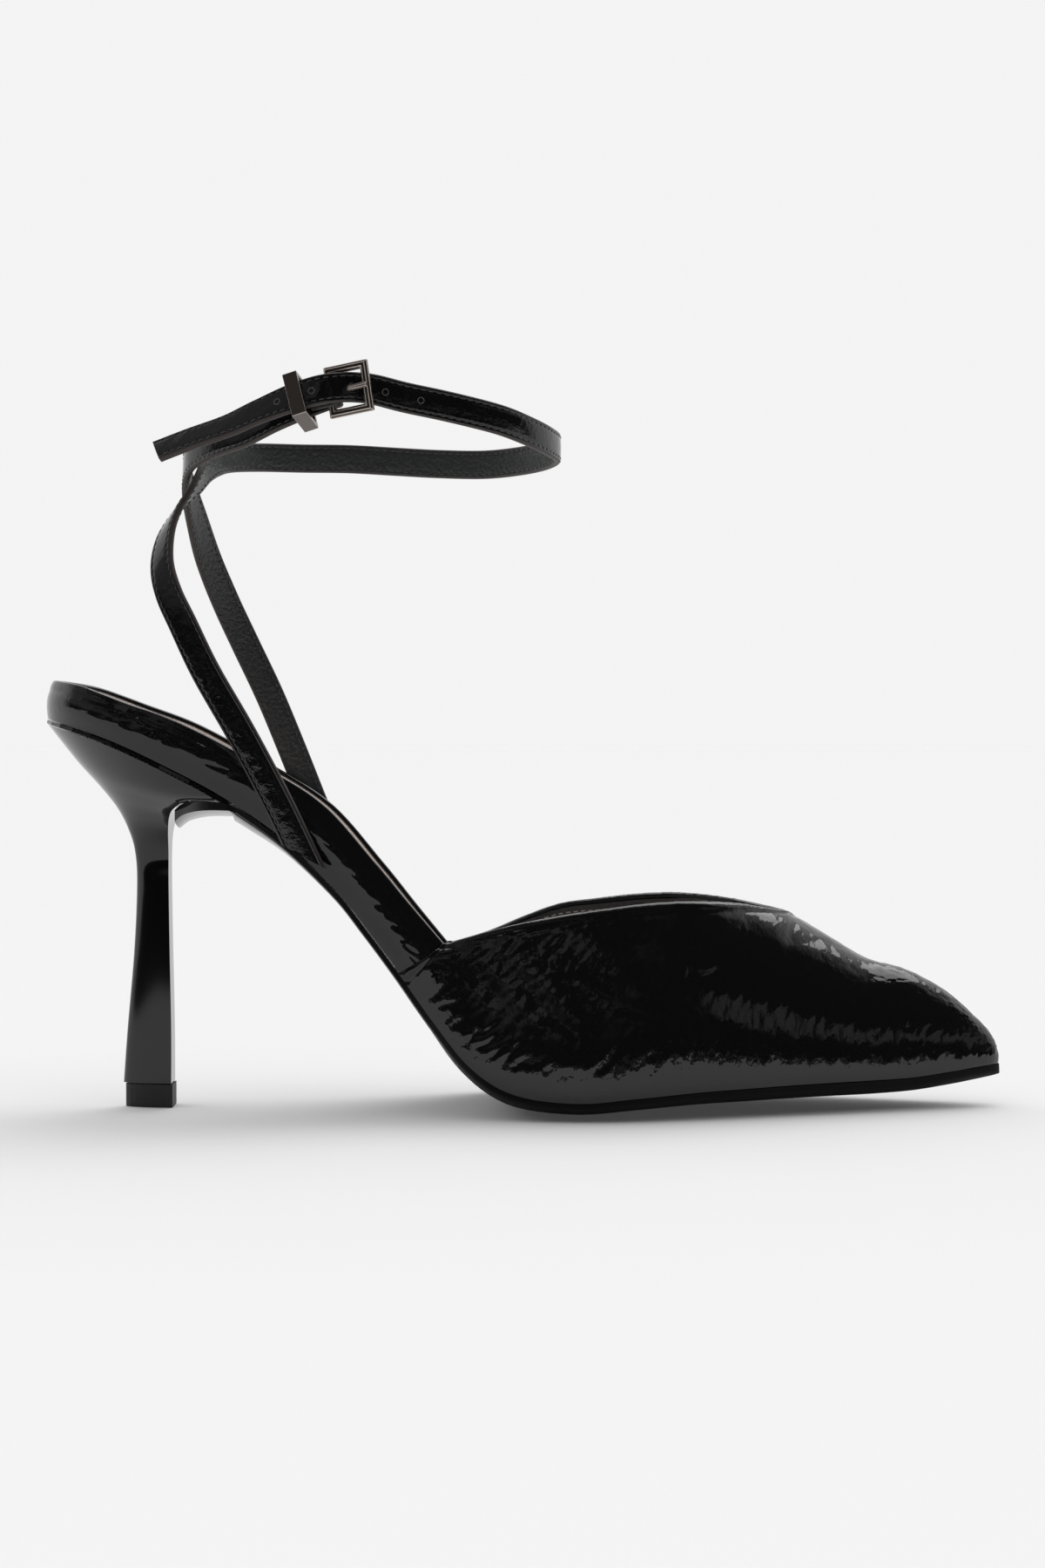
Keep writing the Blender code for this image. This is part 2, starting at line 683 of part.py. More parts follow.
def strap_frame(rows, t):
    """Place, direction, outward side and width direction of a strap at row number t."""
    row = dict(zip(STRAP_COLUMNS, through(rows, t)))
    place = ankle_place(row["along"], row["side"], row["up"])
    step = 0.02
    low = through(rows, max(t - step, 0))
    high = through(rows, min(t + step, len(rows) - 1))
    along = (ankle_place(*high[:3]) - ankle_place(*low[:3])).normalized()
    turn = math.radians(row["face"])
    out = Vector((-math.sin(turn), -math.cos(turn), 0))
    out = (out - along * out.dot(along)).normalized()
    up = out.cross(along) if out.cross(along).z > 0 else along.cross(out)
    tilt = math.radians(row["tilt"])
    out = out * math.cos(tilt) + up * math.sin(tilt)
    return place, along, out, along.cross(out)


def strap_section(place, out, across, width, thickness):
    """Eight-cornered section of a folded strap."""
    half = width / 2
    thin = thickness / 2
    soft = thickness * 0.28
    side = ((half - soft, thin), (half, thin - soft), (half, soft - thin), (half - soft, -thin))
    pattern = side + tuple((-a, -b) for a, b in side)
    return [place + across * a + out * b for a, b in pattern]


def make_strap(name, rows, lean_start, lean_end, extra=()):
    """Folded strap through the rows; extra sections carry on past its last row."""
    sections = []
    steps = (len(rows) - 1) * STRAP_STEPS
    for k in range(steps + 1):
        t = k / STRAP_STEPS
        place, along, out, across = strap_frame(rows, t)
        section = strap_section(place, out, across, STRAP_WIDTH, STRAP_THICKNESS)
        if k == 0:
            section = [p + along * (p - place).dot(across) * lean_start for p in section]
        if k == steps and not extra:
            section = [p + along * (p - place).dot(across) * lean_end for p in section]
        sections.append(section)
    sections.extend(extra)
    return loft_plain(name, sections, "strap_patent")


def loft_plain(name, sections, look, sharp=40):
    """Closed body through closed sections, with one flat face on each end."""
    mesh = bmesh.new()
    rings = [[mesh.verts.new(p) for p in section] for section in sections]
    for low, high in zip(rings, rings[1:]):
        size = len(low)
        for k in range(size):
            mesh.faces.new((low[k], low[(k + 1) % size], high[(k + 1) % size], high[k]))
    mesh.faces.new(rings[0])
    mesh.faces.new(rings[-1])
    return finish_mesh(name, mesh, look, sharp)


def buckle_axes():
    """Matrix of the buckle: X along the strap to the toe, -Y outward, Z across the strap."""
    yaw = Matrix.Rotation(math.radians(-BUCKLE_YAW), 4, "Z")
    roll = Matrix.Rotation(math.radians(-BUCKLE_ROLL), 4, "Y")
    return Matrix.Translation(ankle_place(*HINGE)) @ yaw @ roll


def loop_sections():
    """The short strap's thinned end, which turns round the buckle's hinge bar and back."""
    thin = LOOP_THICKNESS
    radius = BUCKLE_THICKNESS / 2 + 2 * GAP + thin / 2
    axes = buckle_axes()
    route = [(-LOOP_END / 3, radius, 0)]
    for angle in LOOP_ANGLES:
        a = math.radians(angle)
        route.append((radius * math.cos(a), radius * math.sin(a), angle - 90))
    route.append((-LOOP_END / 6, -radius, -180))
    route.append((-LOOP_END, GAP / 2 - radius, -180))
    sections = []
    for x, y, turn in route:
        a = math.radians(turn)
        out = Vector((math.sin(a), -math.cos(a), 0))
        place = axes @ Vector((x, y, 0))
        out = (axes.to_3x3() @ out).normalized()
        across = axes.to_3x3() @ Vector((0, 0, -1))
        sections.append(strap_section(place, out, across, STRAP_WIDTH, thin))
    return sections


def make_buckle_frame():
    axes = buckle_axes()
    bar = BUCKLE_BAR / 2
    deep = BUCKLE_THICKNESS / 2
    length = BUCKLE_LENGTH - BUCKLE_BAR
    height = (BUCKLE_HEIGHT - BUCKLE_BAR) / 2
    profile = BAR_PROFILE + tuple((-reach, -depth) for reach, depth in BAR_PROFILE)
    mesh = bmesh.new()
    rings = []
    for sx, sz in ((-1, -1), (1, -1), (1, 1), (-1, 1)):
        ring = []
        for reach, depth in profile:
            x = (length if sx > 0 else 0) + sx * reach * bar
            ring.append(mesh.verts.new(axes @ Vector((x, -deep * depth, sz * (height + reach * bar)))))
        rings.append(ring)
    for low, high in zip(rings, rings[1:] + rings[:1]):
        for k in range(len(profile)):
            n = (k + 1) % len(profile)
            mesh.faces.new((low[k], low[n], high[n], high[k]))
    return finish_mesh("buckle_frame", mesh, "buckle_metal", 20)


def tube_sections(route, radius, sides=8):
    sections = []
    for i, place in enumerate(route):
        ahead = route[min(i + 1, len(route) - 1)]
        behind = route[max(i - 1, 0)]
        along = (ahead - behind).normalized()
        across = along.cross(Vector((0.1, 0.2, 1))).normalized()
        other = along.cross(across)
        section = []
        for k in range(sides):
            a = 2 * math.pi * k / sides
            section.append(place + across * radius * math.cos(a) + other * radius * math.sin(a))
        sections.append(section)
    return sections


def prong_route(eye_start):
    """Open eye round the hinge bar, then through the long strap and on to the front bar."""
    axes = buckle_axes()
    over = BUCKLE_THICKNESS / 2 + GAP + PRONG_RADIUS
    eye = over + GAP / 2
    route = []
    for angle in (eye_start,) + EYE_ANGLES:
        a = math.radians(angle)
        route.append((eye * math.cos(a), eye * math.sin(a)))
    length = BUCKLE_LENGTH - BUCKLE_BAR
    route += [(share * length, height * over) for share, height in PRONG_RISE]
    return [axes @ Vector((x, y, 0)) for x, y in route]


def cut_with(target, name, sections):
    """Take a tube out of a strap; the tube stays as a hidden guide."""
    cutter = loft_plain(name, sections, "strap_patent")
    cutter.hide_render = True
    cutter.display_type = "WIRE"
    cut = target.modifiers.new(name, "BOOLEAN")
    cut.operation = "DIFFERENCE"
    cut.object = cutter


def make_keeper():
    """Metal loop that holds the loose end on the short strap."""
    place, along, out, across = strap_frame(LONG_STRAP, KEEPER_ROW)
    half = STRAP_WIDTH / 2 + 3 * GAP
    top = STRAP_THICKNESS / 2 + GAP
    mesh = bmesh.new()
    rings = []
    for end in (-0.5, 0.5):
        centre = place + along * end * KEEPER_WIDTH
        for wide in (0, KEEPER_WALL):
            ring = []
            for a, b in ((-1, -1), (1, -1), (1, 1), (-1, 1)):
                side = a * (half + wide)
                face = top + wide if b > 0 else -KEEPER_DEPTH - wide
                ring.append(mesh.verts.new(centre + across * side + out * face))
            rings.append(ring)
    for first, second in ((0, 1), (1, 3), (3, 2), (2, 0)):
        for k in range(4):
            n = (k + 1) % 4
            mesh.faces.new((rings[first][k], rings[first][n], rings[second][n], rings[second][k]))
    return finish_mesh("keeper", mesh, "buckle_metal", 20)


def main():
    clear_scene()
    make_upper()
    make_outsole()
    inside = WALL + 2 * GAP
    floor = INSOLE_THICKNESS + GAP
    rand = -GAP - RAND_THICKNESS
    make_layer("insole", *INSOLE_ROWS, inside, 0.0, INSOLE_THICKNESS, "insole_board")
    make_layer("sock", *SOCK_ROWS, inside + GAP, floor, floor + SOCK_THICKNESS, "sock_leather")
    make_layer("seat_rand", *RAND_ROWS, 0.0, rand, -GAP, "heel_gloss")
    make_heel()
    make_top_lift()
    long_strap = make_strap("long_strap", LONG_STRAP, -RISER_LEAN, TIP_LEAN)
    short_strap = make_strap("short_strap", SHORT_STRAP, RISER_LEAN, 0.0, loop_sections())
    make_buckle_frame()
    loft_plain("buckle_prong", tube_sections(prong_route(EYE_START), PRONG_RADIUS), "buckle_metal")
    room = tube_sections(prong_route(HOLE_START), PRONG_RADIUS + GAP)
    cut_with(long_strap, "prong_hole_guide", room)
    cut_with(short_strap, "prong_slot_guide", room)
    make_keeper()


main()
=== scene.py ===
"""Ankle strap pump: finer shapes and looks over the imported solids. Metres, +X to the toe."""
import math

import bpy
import bmesh
from mathutils import Matrix, Vector, noise


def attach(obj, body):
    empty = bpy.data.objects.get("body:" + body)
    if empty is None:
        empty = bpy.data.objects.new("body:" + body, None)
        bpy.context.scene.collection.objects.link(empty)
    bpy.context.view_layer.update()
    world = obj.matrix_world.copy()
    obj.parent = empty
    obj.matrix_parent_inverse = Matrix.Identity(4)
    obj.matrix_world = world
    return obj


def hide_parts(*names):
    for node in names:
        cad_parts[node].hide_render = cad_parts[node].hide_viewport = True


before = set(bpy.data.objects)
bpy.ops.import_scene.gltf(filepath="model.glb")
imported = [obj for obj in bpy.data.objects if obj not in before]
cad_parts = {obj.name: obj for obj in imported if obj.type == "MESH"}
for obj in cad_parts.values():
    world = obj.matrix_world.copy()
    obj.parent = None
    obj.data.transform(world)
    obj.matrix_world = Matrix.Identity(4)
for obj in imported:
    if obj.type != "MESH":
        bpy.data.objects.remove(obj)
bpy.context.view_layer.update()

# Driving sizes in metres
LAST_LENGTH = 0.2270
BALL_WIDTH = 0.0740
HEEL_RISE = 0.0883
TOE_SPRING = 0.0055
QUARTER_HEIGHT = 0.0120
VAMP_HEIGHT = 0.0445
WALL = 0.0018
VAMP_OVERLAY = 0.0008
GAP = 0.0003
OUTSOLE_EDGE = 0.0014
OUTSOLE_CROWN = 0.0029
OUTSOLE_TOE_EXTENSION = 0.0010
LAST_CROWN = 0.0012
INSOLE_THICKNESS = 0.0030
SOCK_THICKNESS = 0.0008
RAND_THICKNESS = 0.0008
TOP_LIFT_HEIGHT = 0.0054
TOP_LIFT_LENGTH = 0.0116
HEEL_STEM_WIDTH = 0.0086
STRAP_WIDTH = 0.0070
STRAP_THICKNESS = 0.0016
ANKLE_HEIGHT = 0.1570
BUCKLE_THICKNESS = 0.0018

# Height of the feather line above the floor at the ball of the foot
BALL_EDGE = OUTSOLE_CROWN + OUTSOLE_EDGE + GAP
# The last's heel end sits this far behind the origin
HEEL_BACK = -0.5 * (LAST_LENGTH + 2 * OUTSOLE_TOE_EXTENSION - VAMP_OVERLAY)

# Feather line from the heel's back to the toe.
# along: share of LAST_LENGTH; lateral, medial: shares of BALL_WIDTH;
# arch: share of HEEL_RISE; spring: share of TOE_SPRING
EDGE_COLUMNS = ("along", "lateral", "medial", "arch", "spring")
EDGE = (
    (0.000, 0.000, 0.000, 1.000, 0.00),
    (0.010, 0.128, 0.128, 0.992, 0.00),
    (0.036, 0.236, 0.236, 0.974, 0.00),
    (0.078, 0.308, 0.304, 0.938, 0.00),
    (0.130, 0.332, 0.324, 0.877, 0.00),
    (0.192, 0.330, 0.314, 0.792, 0.00),
    (0.253, 0.322, 0.301, 0.683, 0.00),
    (0.310, 0.328, 0.303, 0.542, 0.00),
    (0.342, 0.341, 0.312, 0.439, 0.00),
    (0.374, 0.357, 0.327, 0.330, 0.00),
    (0.410, 0.386, 0.362, 0.202, 0.00),
    (0.448, 0.422, 0.408, 0.086, 0.00),
    (0.492, 0.459, 0.462, 0.020, 0.00),
    (0.554, 0.486, 0.500, 0.000, 0.00),
    (0.615, 0.472, 0.503, 0.000, 0.18),
    (0.677, 0.414, 0.462, 0.000, 0.36),
    (0.730, 0.354, 0.405, 0.000, 0.44),
    (0.770, 0.305, 0.359, 0.000, 0.49),
    (0.814, 0.251, 0.305, 0.000, 0.53),
    (0.862, 0.192, 0.249, 0.000, 0.56),
    (0.906, 0.135, 0.195, 0.000, 0.61),
    (0.946, 0.081, 0.143, 0.000, 0.78),
    (0.974, 0.035, 0.105, 0.000, 0.91),
    (0.993, -0.005, 0.073, 0.000, 0.98),
    (1.000, -0.041, 0.041, 0.000, 1.00),
)
# Upper end of each section: run and rise from the feather line, as shares of
# QUARTER_HEIGHT up to the vamp's rear edge and of VAMP_HEIGHT ahead of it;
# lateral, medial: shares of BALL_WIDTH; cut: degrees of the section's quarter
# ellipse; belly: share of QUARTER_HEIGHT; sink: how far the medial side is cut
# lower, as a share of QUARTER_HEIGHT
TOP_COLUMNS = ("run", "rise", "lateral", "medial", "cut", "belly", "sink")
TOP = (
    (0.100, 0.710, 0.000, 0.000, 20, 0.06, 0.00),
    (0.110, 0.750, 0.118, 0.118, 20, 0.07, 0.00),
    (0.180, 0.770, 0.227, 0.227, 20, 0.08, 0.00),
    (0.280, 0.720, 0.297, 0.294, 20, 0.09, 0.01),
    (0.370, 0.775, 0.319, 0.312, 20, 0.09, 0.03),
    (0.480, 0.735, 0.316, 0.300, 20, 0.09, 0.06),
    (0.720, 0.685, 0.308, 0.288, 20, 0.09, 0.10),
    (0.720, 0.540, 0.314, 0.289, 20, 0.09, 0.13),
    (0.800, 0.480, 0.327, 0.304, 20, 0.09, 0.18),
    (0.875, 0.500, 0.345, 0.322, 20, 0.075, 0.24),
    (0.265, 0.456, 0.368, 0.355, 22, 0.060, 0.25),
    (0.270, 0.733, 0.376, 0.368, 27, 0.050, 0.12),
    (0.247, 0.901, 0.370, 0.365, 36, 0.045, 0.00),
    (0.146, 0.971, 0.351, 0.345, 44, 0.040, 0.00),
    (0.067, 0.975, 0.324, 0.319, 47, 0.040, 0.00),
    (-0.011, 0.960, 0.277, 0.277, 52, 0.040, 0.00),
    (-0.011, 0.926, 0.142, 0.155, 68, 0.040, 0.00),
    (0.040, 0.865, -0.020, 0.020, 88, 0.040, 0.00),
    (0.022, 0.739, -0.026, 0.026, 88, 0.040, 0.00),
    (0.000, 0.604, -0.030, 0.030, 88, 0.035, 0.00),
    (-0.022, 0.540, -0.034, 0.034, 86, 0.035, 0.00),
    (-0.056, 0.434, -0.036, 0.036, 80, 0.030, 0.00),
    (-0.090, 0.342, -0.038, 0.038, 70, 0.030, 0.00),
    (-0.108, 0.258, -0.039, 0.039, 56, 0.020, 0.00),
    (-0.097, 0.209, -0.041, 0.041, 50, 0.020, 0.00),
)
# Powers of the height's share in the quarter and in the vamp, which is fullest near its foot
BELLY_POWERS = (1.0, 0.6)
VERTEX_ROW = 9
THROAT_ROW = 17
TIP_ROW = 24
# Row on which the outsole leaves the feather line for its flap at the heel
FLAP_ROW = 5.3
HEEL_SEAT_ROW = 4.9
STEP_ROWS = 0.04
# First and last row of the sock
SOCK_ROWS = (0.18, TIP_ROW - 1.45)
# Rows over which the sections turn from the shank's lean to upright
FAN_ROWS = 4

# Outsole flap under the heel's wings: back and drop as shares of HEEL_RISE,
# width as a share of BALL_WIDTH
FLAP = (
    (0.030, -0.015, 0.300),
    (0.080, -0.016, 0.285),
    (0.125, -0.012, 0.250),
    (0.162, -0.001, 0.205),
    (0.184, 0.016, 0.180),
)
# Depth of the flap's middle below its edge, as a share of OUTSOLE_CROWN
FLAP_CROWN = 0.65

# Outsole's middle below its edge: section row, share of OUTSOLE_CROWN
CROWN = (
    (5.0, 0.95),
    (5.6, 0.85),
    (6.2, 0.50),
    (7.0, 0.28),
    (8.0, 0.15),
    (10.0, 0.35),
    (12.0, 1.15),
    (14.0, 1.20),
    (16.0, 1.15),
    (19.0, 1.00),
    (22.0, 0.60),
    (24.0, 0.30),
)

# Heel sections from the top lift to the seat. back_up, front_up: shares of the
# height from the top lift to HEEL_RISE; back, front: distances behind the breast line as shares
# of TOP_LIFT_LENGTH; half: half width as a share of HEEL_STEM_WIDTH
HEEL_COLUMNS = ("back_up", "front_up", "back", "front", "half")
HEEL = (
    (0.000, 0.000, 1.02, 0.00, 0.53),
    (0.155, 0.155, 0.94, 0.00, 0.50),
    (0.380, 0.380, 0.80, 0.03, 0.475),
    (0.572, 0.572, 0.74, 0.05, 0.465),
    (0.669, 0.669, 0.78, 0.05, 0.48),
    (0.735, 0.725, 0.92, 0.04, 0.72),
    (0.795, 0.769, 1.14, -0.02, 1.22),
    (0.859, 0.797, 1.50, -0.16, 1.76),
    (0.931, 0.820, 1.96, -0.50, 2.36),
)
# Place of the heel's front face along the shoe
BREAST = HEEL_BACK + 0.1308 * LAST_LENGTH

# Straps by the columns of STRAP_COLUMNS. along: share of LAST_LENGTH from the
# origin toward the toe; side: share of BALL_WIDTH; up: share of ANKLE_HEIGHT;
# face: degrees that the patent side has turned from the lateral side; tilt:
# degrees that it has turned upward
STRAP_COLUMNS = ("along", "side", "up", "face", "tilt")
# Long strap: lateral riser, once round the ankle, loose end
LONG_STRAP = (
    (-0.2260, -0.3568, 0.3865, 0, 0),
    (-0.2542, -0.3568, 0.4710, 0, 0),
    (-0.2899, -0.3527, 0.5680, 0, 0),
    (-0.3260, -0.3378, 0.6580, 5, 0),
    (-0.3502, -0.3135, 0.7290, 12, 0),
    (-0.3661, -0.2784, 0.7760, 22, 0),
    (-0.3744, -0.2324, 0.8190, 35, 0),
    (-0.3727, -0.1730, 0.8650, 50, 0),
    (-0.3621, -0.1122, 0.9040, 65, 0),
    (-0.3445, -0.0514, 0.9430, 80, 0),
    (-0.3357, 0.0230, 0.9700, 95, 0),
    (-0.3264, 0.1081, 0.9850, 110, 0),
    (-0.3150, 0.2162, 0.9940, 128, 0),
    (-0.2863, 0.3243, 0.9990, 145, 0),
    (-0.2423, 0.3919, 1.0000, 163, 0),
    (-0.1921, 0.4189, 1.0000, 178, 0),
    (-0.1405, 0.4230, 0.9960, 184, 0),
    (-0.0947, 0.4108, 0.9920, 192, 0),
    (-0.0458, 0.3595, 0.9890, 210, 0),
    (-0.0079, 0.2703, 0.9910, 228, 0),
    (0.0211, 0.1419, 0.9950, 250, 0),
    (0.0335, 0.0000, 1.0000, 270, 0),
    (0.0251, -0.1216, 1.0060, 290, 0),
    (0.0040, -0.2297, 1.0170, 312, 0),
    (-0.0278, -0.3243, 1.0310, 335, 0),
    (-0.0762, -0.3919, 1.0460, 350, 0),
    (-0.1211, -0.4135, 1.0590, 357, 0),
    (-0.1612, -0.4176, 1.0725, 366, 3),
    (-0.1969, -0.4608, 1.0705, 362, 9),
    (-0.2300, -0.4554, 1.0590, 358, 20),
    (-0.2692, -0.4297, 1.0380, 355, 38),
    (-0.3018, -0.4054, 1.0180, 353, 46),
    (-0.3414, -0.3676, 1.0000, 352, 48),
    (-0.3758, -0.3297, 0.9830, 352, 48),
)
# Short strap: medial riser, over the long strap behind the ankle, to the buckle
SHORT_STRAP = (
    (-0.2176, 0.3284, 0.4140, 180, 0),
    (-0.2326, 0.3311, 0.4670, 180, 0),
    (-0.2529, 0.3324, 0.5410, 180, 0),
    (-0.2775, 0.3284, 0.6270, 178, 0),
    (-0.3040, 0.3135, 0.7090, 172, 0),
    (-0.3242, 0.2838, 0.7740, 163, 0),
    (-0.3410, 0.2297, 0.8390, 148, 0),
    (-0.3511, 0.1486, 0.8990, 128, 0),
    (-0.3564, 0.0676, 0.9400, 108, 0),
    (-0.3564, -0.0135, 0.9660, 88, 0),
    (-0.3480, -0.1068, 0.9850, 68, 0),
    (-0.3233, -0.2027, 0.9990, 52, 6),
    (-0.2877, -0.2973, 1.0120, 34, 12),
    (-0.2555, -0.3581, 1.0310, 20, 20),
    (-0.2273, -0.3878, 1.0480, 8, 18),
)

# Buckle's hinge bar: place as in the strap tables; turn to the inner side and
# tilt of the frame in degrees
HINGE = (-0.1969, -0.4108, 1.066)
BUCKLE_YAW = 21
BUCKLE_ROLL = 9
# Short strap's end, thinned for its turn round the hinge bar: first and last angle of the turn
LOOP_THICKNESS = 0.6 * STRAP_THICKNESS
LOOP_END = 0.0045
LOOP_ANGLES = (60, -60)
LOOP_STEPS = 12
# Cut of the risers' lower ends and of the loose end: run along per width
RISER_LEAN = 1.1
TIP_LEAN = 0.32

# Angle of the first point of a rounded loop
LOOP_CORNER = 2


def through(rows, t):
    """All columns of the smooth curve through the rows, at row number t."""
    last = len(rows) - 1
    i = max(0, min(int(t), last - 1))
    f = t - i
    before = rows[max(i - 1, 0)]
    start = rows[i]
    end = rows[i + 1]
    after = rows[min(i + 2, last)]
    values = []
    for a, b, c, d in zip(before, start, end, after):
        slope_in = (c - a) / 2
        slope_out = (d - b) / 2
        bend = 3 * (c - b) - 2 * slope_in - slope_out
        twist = 2 * (b - c) + slope_in + slope_out
        values.append(b + f * (slope_in + f * (bend + f * twist)))
    return values


def edge_row(number, side):
    row = dict(zip(EDGE_COLUMNS, EDGE[number]))
    width = -row["lateral"] if side < 0 else row["medial"]
    x = HEEL_BACK + row["along"] * LAST_LENGTH
    z = BALL_EDGE + row["arch"] * HEEL_RISE + row["spring"] * TOE_SPRING
    return (x, width * BALL_WIDTH, z)


def top_row(number, side):
    row = dict(zip(TOP_COLUMNS, TOP[number]))
    unit = QUARTER_HEIGHT if number <= VERTEX_ROW else VAMP_HEIGHT
    width = -row["lateral"] if side < 0 else row["medial"]
    sink = 0.0 if side < 0 else row["sink"] * QUARTER_HEIGHT
    base = edge_row(number, side)
    x = base[0] + row["run"] * unit
    z = base[2] + row["rise"] * unit - sink
    return (x, width * BALL_WIDTH, z, math.radians(row["cut"]), row["belly"] * QUARTER_HEIGHT)


def mirrored(maker, first, last):
    """Rows of the medial side, the shared middle row and the lateral side, in order."""
    step = 1 if last > first else -1
    medial = [maker(i, 1) for i in range(last, first, -step)]
    lateral = [maker(i, -1) for i in range(first, last + step, step)]
    return medial + lateral


EDGE_RING = mirrored(edge_row, 0, TIP_ROW)
QUARTER_TOP = mirrored(top_row, 0, VERTEX_ROW)
VAMP_TOP = mirrored(top_row, THROAT_ROW, VERTEX_ROW)
RIDGE = [top_row(i, -1) for i in range(THROAT_ROW, TIP_ROW + 1)]


def edge_point(s, side):
    """Feather line at row number s, with a smooth turn at the heel and at the toe."""
    if s > TIP_ROW - 1:
        toe = [edge_row(TIP_ROW - 2, side), edge_row(TIP_ROW - 1, side)]
        toe += [edge_row(TIP_ROW, side), edge_row(TIP_ROW - 1, -side)]
        return Vector(through(toe, 1 + s - (TIP_ROW - 1)))
    return Vector(through(EDGE_RING, TIP_ROW - side * s))


def top_point(s, side):
    """Upper end of the section at row number s: place, cut angle and belly."""
    if s <= VERTEX_ROW:
        return through(QUARTER_TOP, VERTEX_ROW - side * s)
    if s <= THROAT_ROW:
        return through(VAMP_TOP, THROAT_ROW - VERTEX_ROW - side * (THROAT_ROW - s))
    return through(RIDGE, s - THROAT_ROW)


def edge_outward(s, side):
    """Horizontal unit vector that points out of the shoe at the feather line."""
    step = 0.01
    if s < step:
        return Vector((-1, 0, 0))
    if s > TIP_ROW - step:
        return Vector((1, 0, 0))
    along = edge_point(s + step, side) - edge_point(s - step, side)
    out = Vector((along.y, -along.x, 0)).normalized()
    return out if side < 0 else -out


def edge_up(s):
    """Unit vector in the shoe's middle plane, square to the feather line, pointing up."""
    step = 0.05
    low = edge_point(max(s - step, 0), -1)
    high = edge_point(min(s + step, TIP_ROW), -1)
    if s < 1.0:
        low = edge_point(0.0, -1)
        high = edge_point(2.0, -1)
    along = Vector((high.x - low.x, 0, high.z - low.z)).normalized()
    return Vector((-along.z, 0, along.x))


def last_crown(s):
    """Depth of the last's bottom at its middle below the feather line."""
    return LAST_CROWN * max(0.0, min(1.0, (s - HEEL_SEAT_ROW) / 3, (TIP_ROW - s) / 4))


def outsole_crown(s):
    """Depth of the outsole's middle below its edge."""
    for (a, low), (b, high) in zip(CROWN, CROWN[1:]):
        if s <= b:
            share = max(0.0, (s - a) / (b - a))
            return OUTSOLE_CROWN * (low + (high - low) * share)
    return OUTSOLE_CROWN * CROWN[-1][1]


def inset_edges(s, inset):
    left = edge_point(s, -1) - edge_outward(s, -1) * inset
    right = edge_point(s, 1) - edge_outward(s, 1) * inset
    return left, right


def loop_turn(share):
    """Angle on a half loop from its side to just short of its middle, in radians."""
    return math.radians(90 - (90 - LOOP_CORNER) * share)


def ankle_place(along, side, up):
    return Vector((along * LAST_LENGTH, side * BALL_WIDTH, up * ANKLE_HEIGHT))


def strap_frame(rows, t):
    """Place, direction, outward side and width direction of a strap at row number t."""
    row = dict(zip(STRAP_COLUMNS, through(rows, t)))
    place = ankle_place(row["along"], row["side"], row["up"])
    step = 0.02
    low = through(rows, max(t - step, 0))
    high = through(rows, min(t + step, len(rows) - 1))
    along = (ankle_place(*high[:3]) - ankle_place(*low[:3])).normalized()
    turn = math.radians(row["face"])
    out = Vector((-math.sin(turn), -math.cos(turn), 0))
    out = (out - along * out.dot(along)).normalized()
    up = out.cross(along) if out.cross(along).z > 0 else along.cross(out)
    tilt = math.radians(row["tilt"])
    out = out * math.cos(tilt) + up * math.sin(tilt)
    return place, along, out, along.cross(out)


def buckle_axes():
    """Matrix of the buckle: X along the strap to the toe, -Y outward, Z across the strap."""
    yaw = Matrix.Rotation(math.radians(-BUCKLE_YAW), 4, "Z")
    roll = Matrix.Rotation(math.radians(-BUCKLE_ROLL), 4, "Y")
    return Matrix.Translation(ankle_place(*HINGE)) @ yaw @ roll


# Finer steps of the visible shapes
ROW_STEPS = 16
WALL_STEPS = 48
LINING_STEPS = 12
FOLD_STEPS = 5
STRAP_ROW_STEPS = 14
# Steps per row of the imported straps, over which their slanted ends run out
STRAP_STEPS = 2
SOLE_ROW_STEPS = 6
SOLE_ACROSS = 16
HEEL_LEVELS = 60
HEEL_AROUND = 22

MM = 0.001
# Points nearer to each other than this are one
SAME_PLACE = 0.00001
# The soft quarter stands off below its topline by this much; shares of the wall's height over
# which this grows and ends
QUARTER_SWELL = 0.0013
SWELL_GROWS = (0.0, 0.66)
SWELL_ENDS = (0.62, 1.0)
# Rows from the vamp's rear edge on that are doubled for its step
STEP_DOUBLED = 4
# Smoothing of the skin where the vamp's topline ends: rows to each side, rounds
THROAT_SMOOTHING = (0.9, 12)
# Folded edge: height, distance from the edge and half width of its bead and of the channel
# beside it; share of the bead on the quarter and on the vamp's rear edge; fullness of the fold
BEAD = (0.00022, 0.0009, 0.0007)
CHANNEL = (0.00016, 0.0024, 0.0006)
QUARTER_BEAD = 0.4
REAR_BEAD = 0.8
FOLD_FULLNESS = 0.75
# Share of the wall's height over which the relief fades in above the feather line
RELIEF_START = 0.06
# A crease is left out beyond this many times its reach
CREASE_LIMIT = 2.2


def ease(value, low, high):
    """0 below low, 1 above high, smooth between."""
    share = min(1.0, max(0.0, (value - low) / (high - low)))
    return share * share * (3 - 2 * share)


def placed(name, data):
    """Object with its data in the scene."""
    made = bpy.data.objects.new(name, data)
    bpy.context.scene.collection.objects.link(made)
    return made


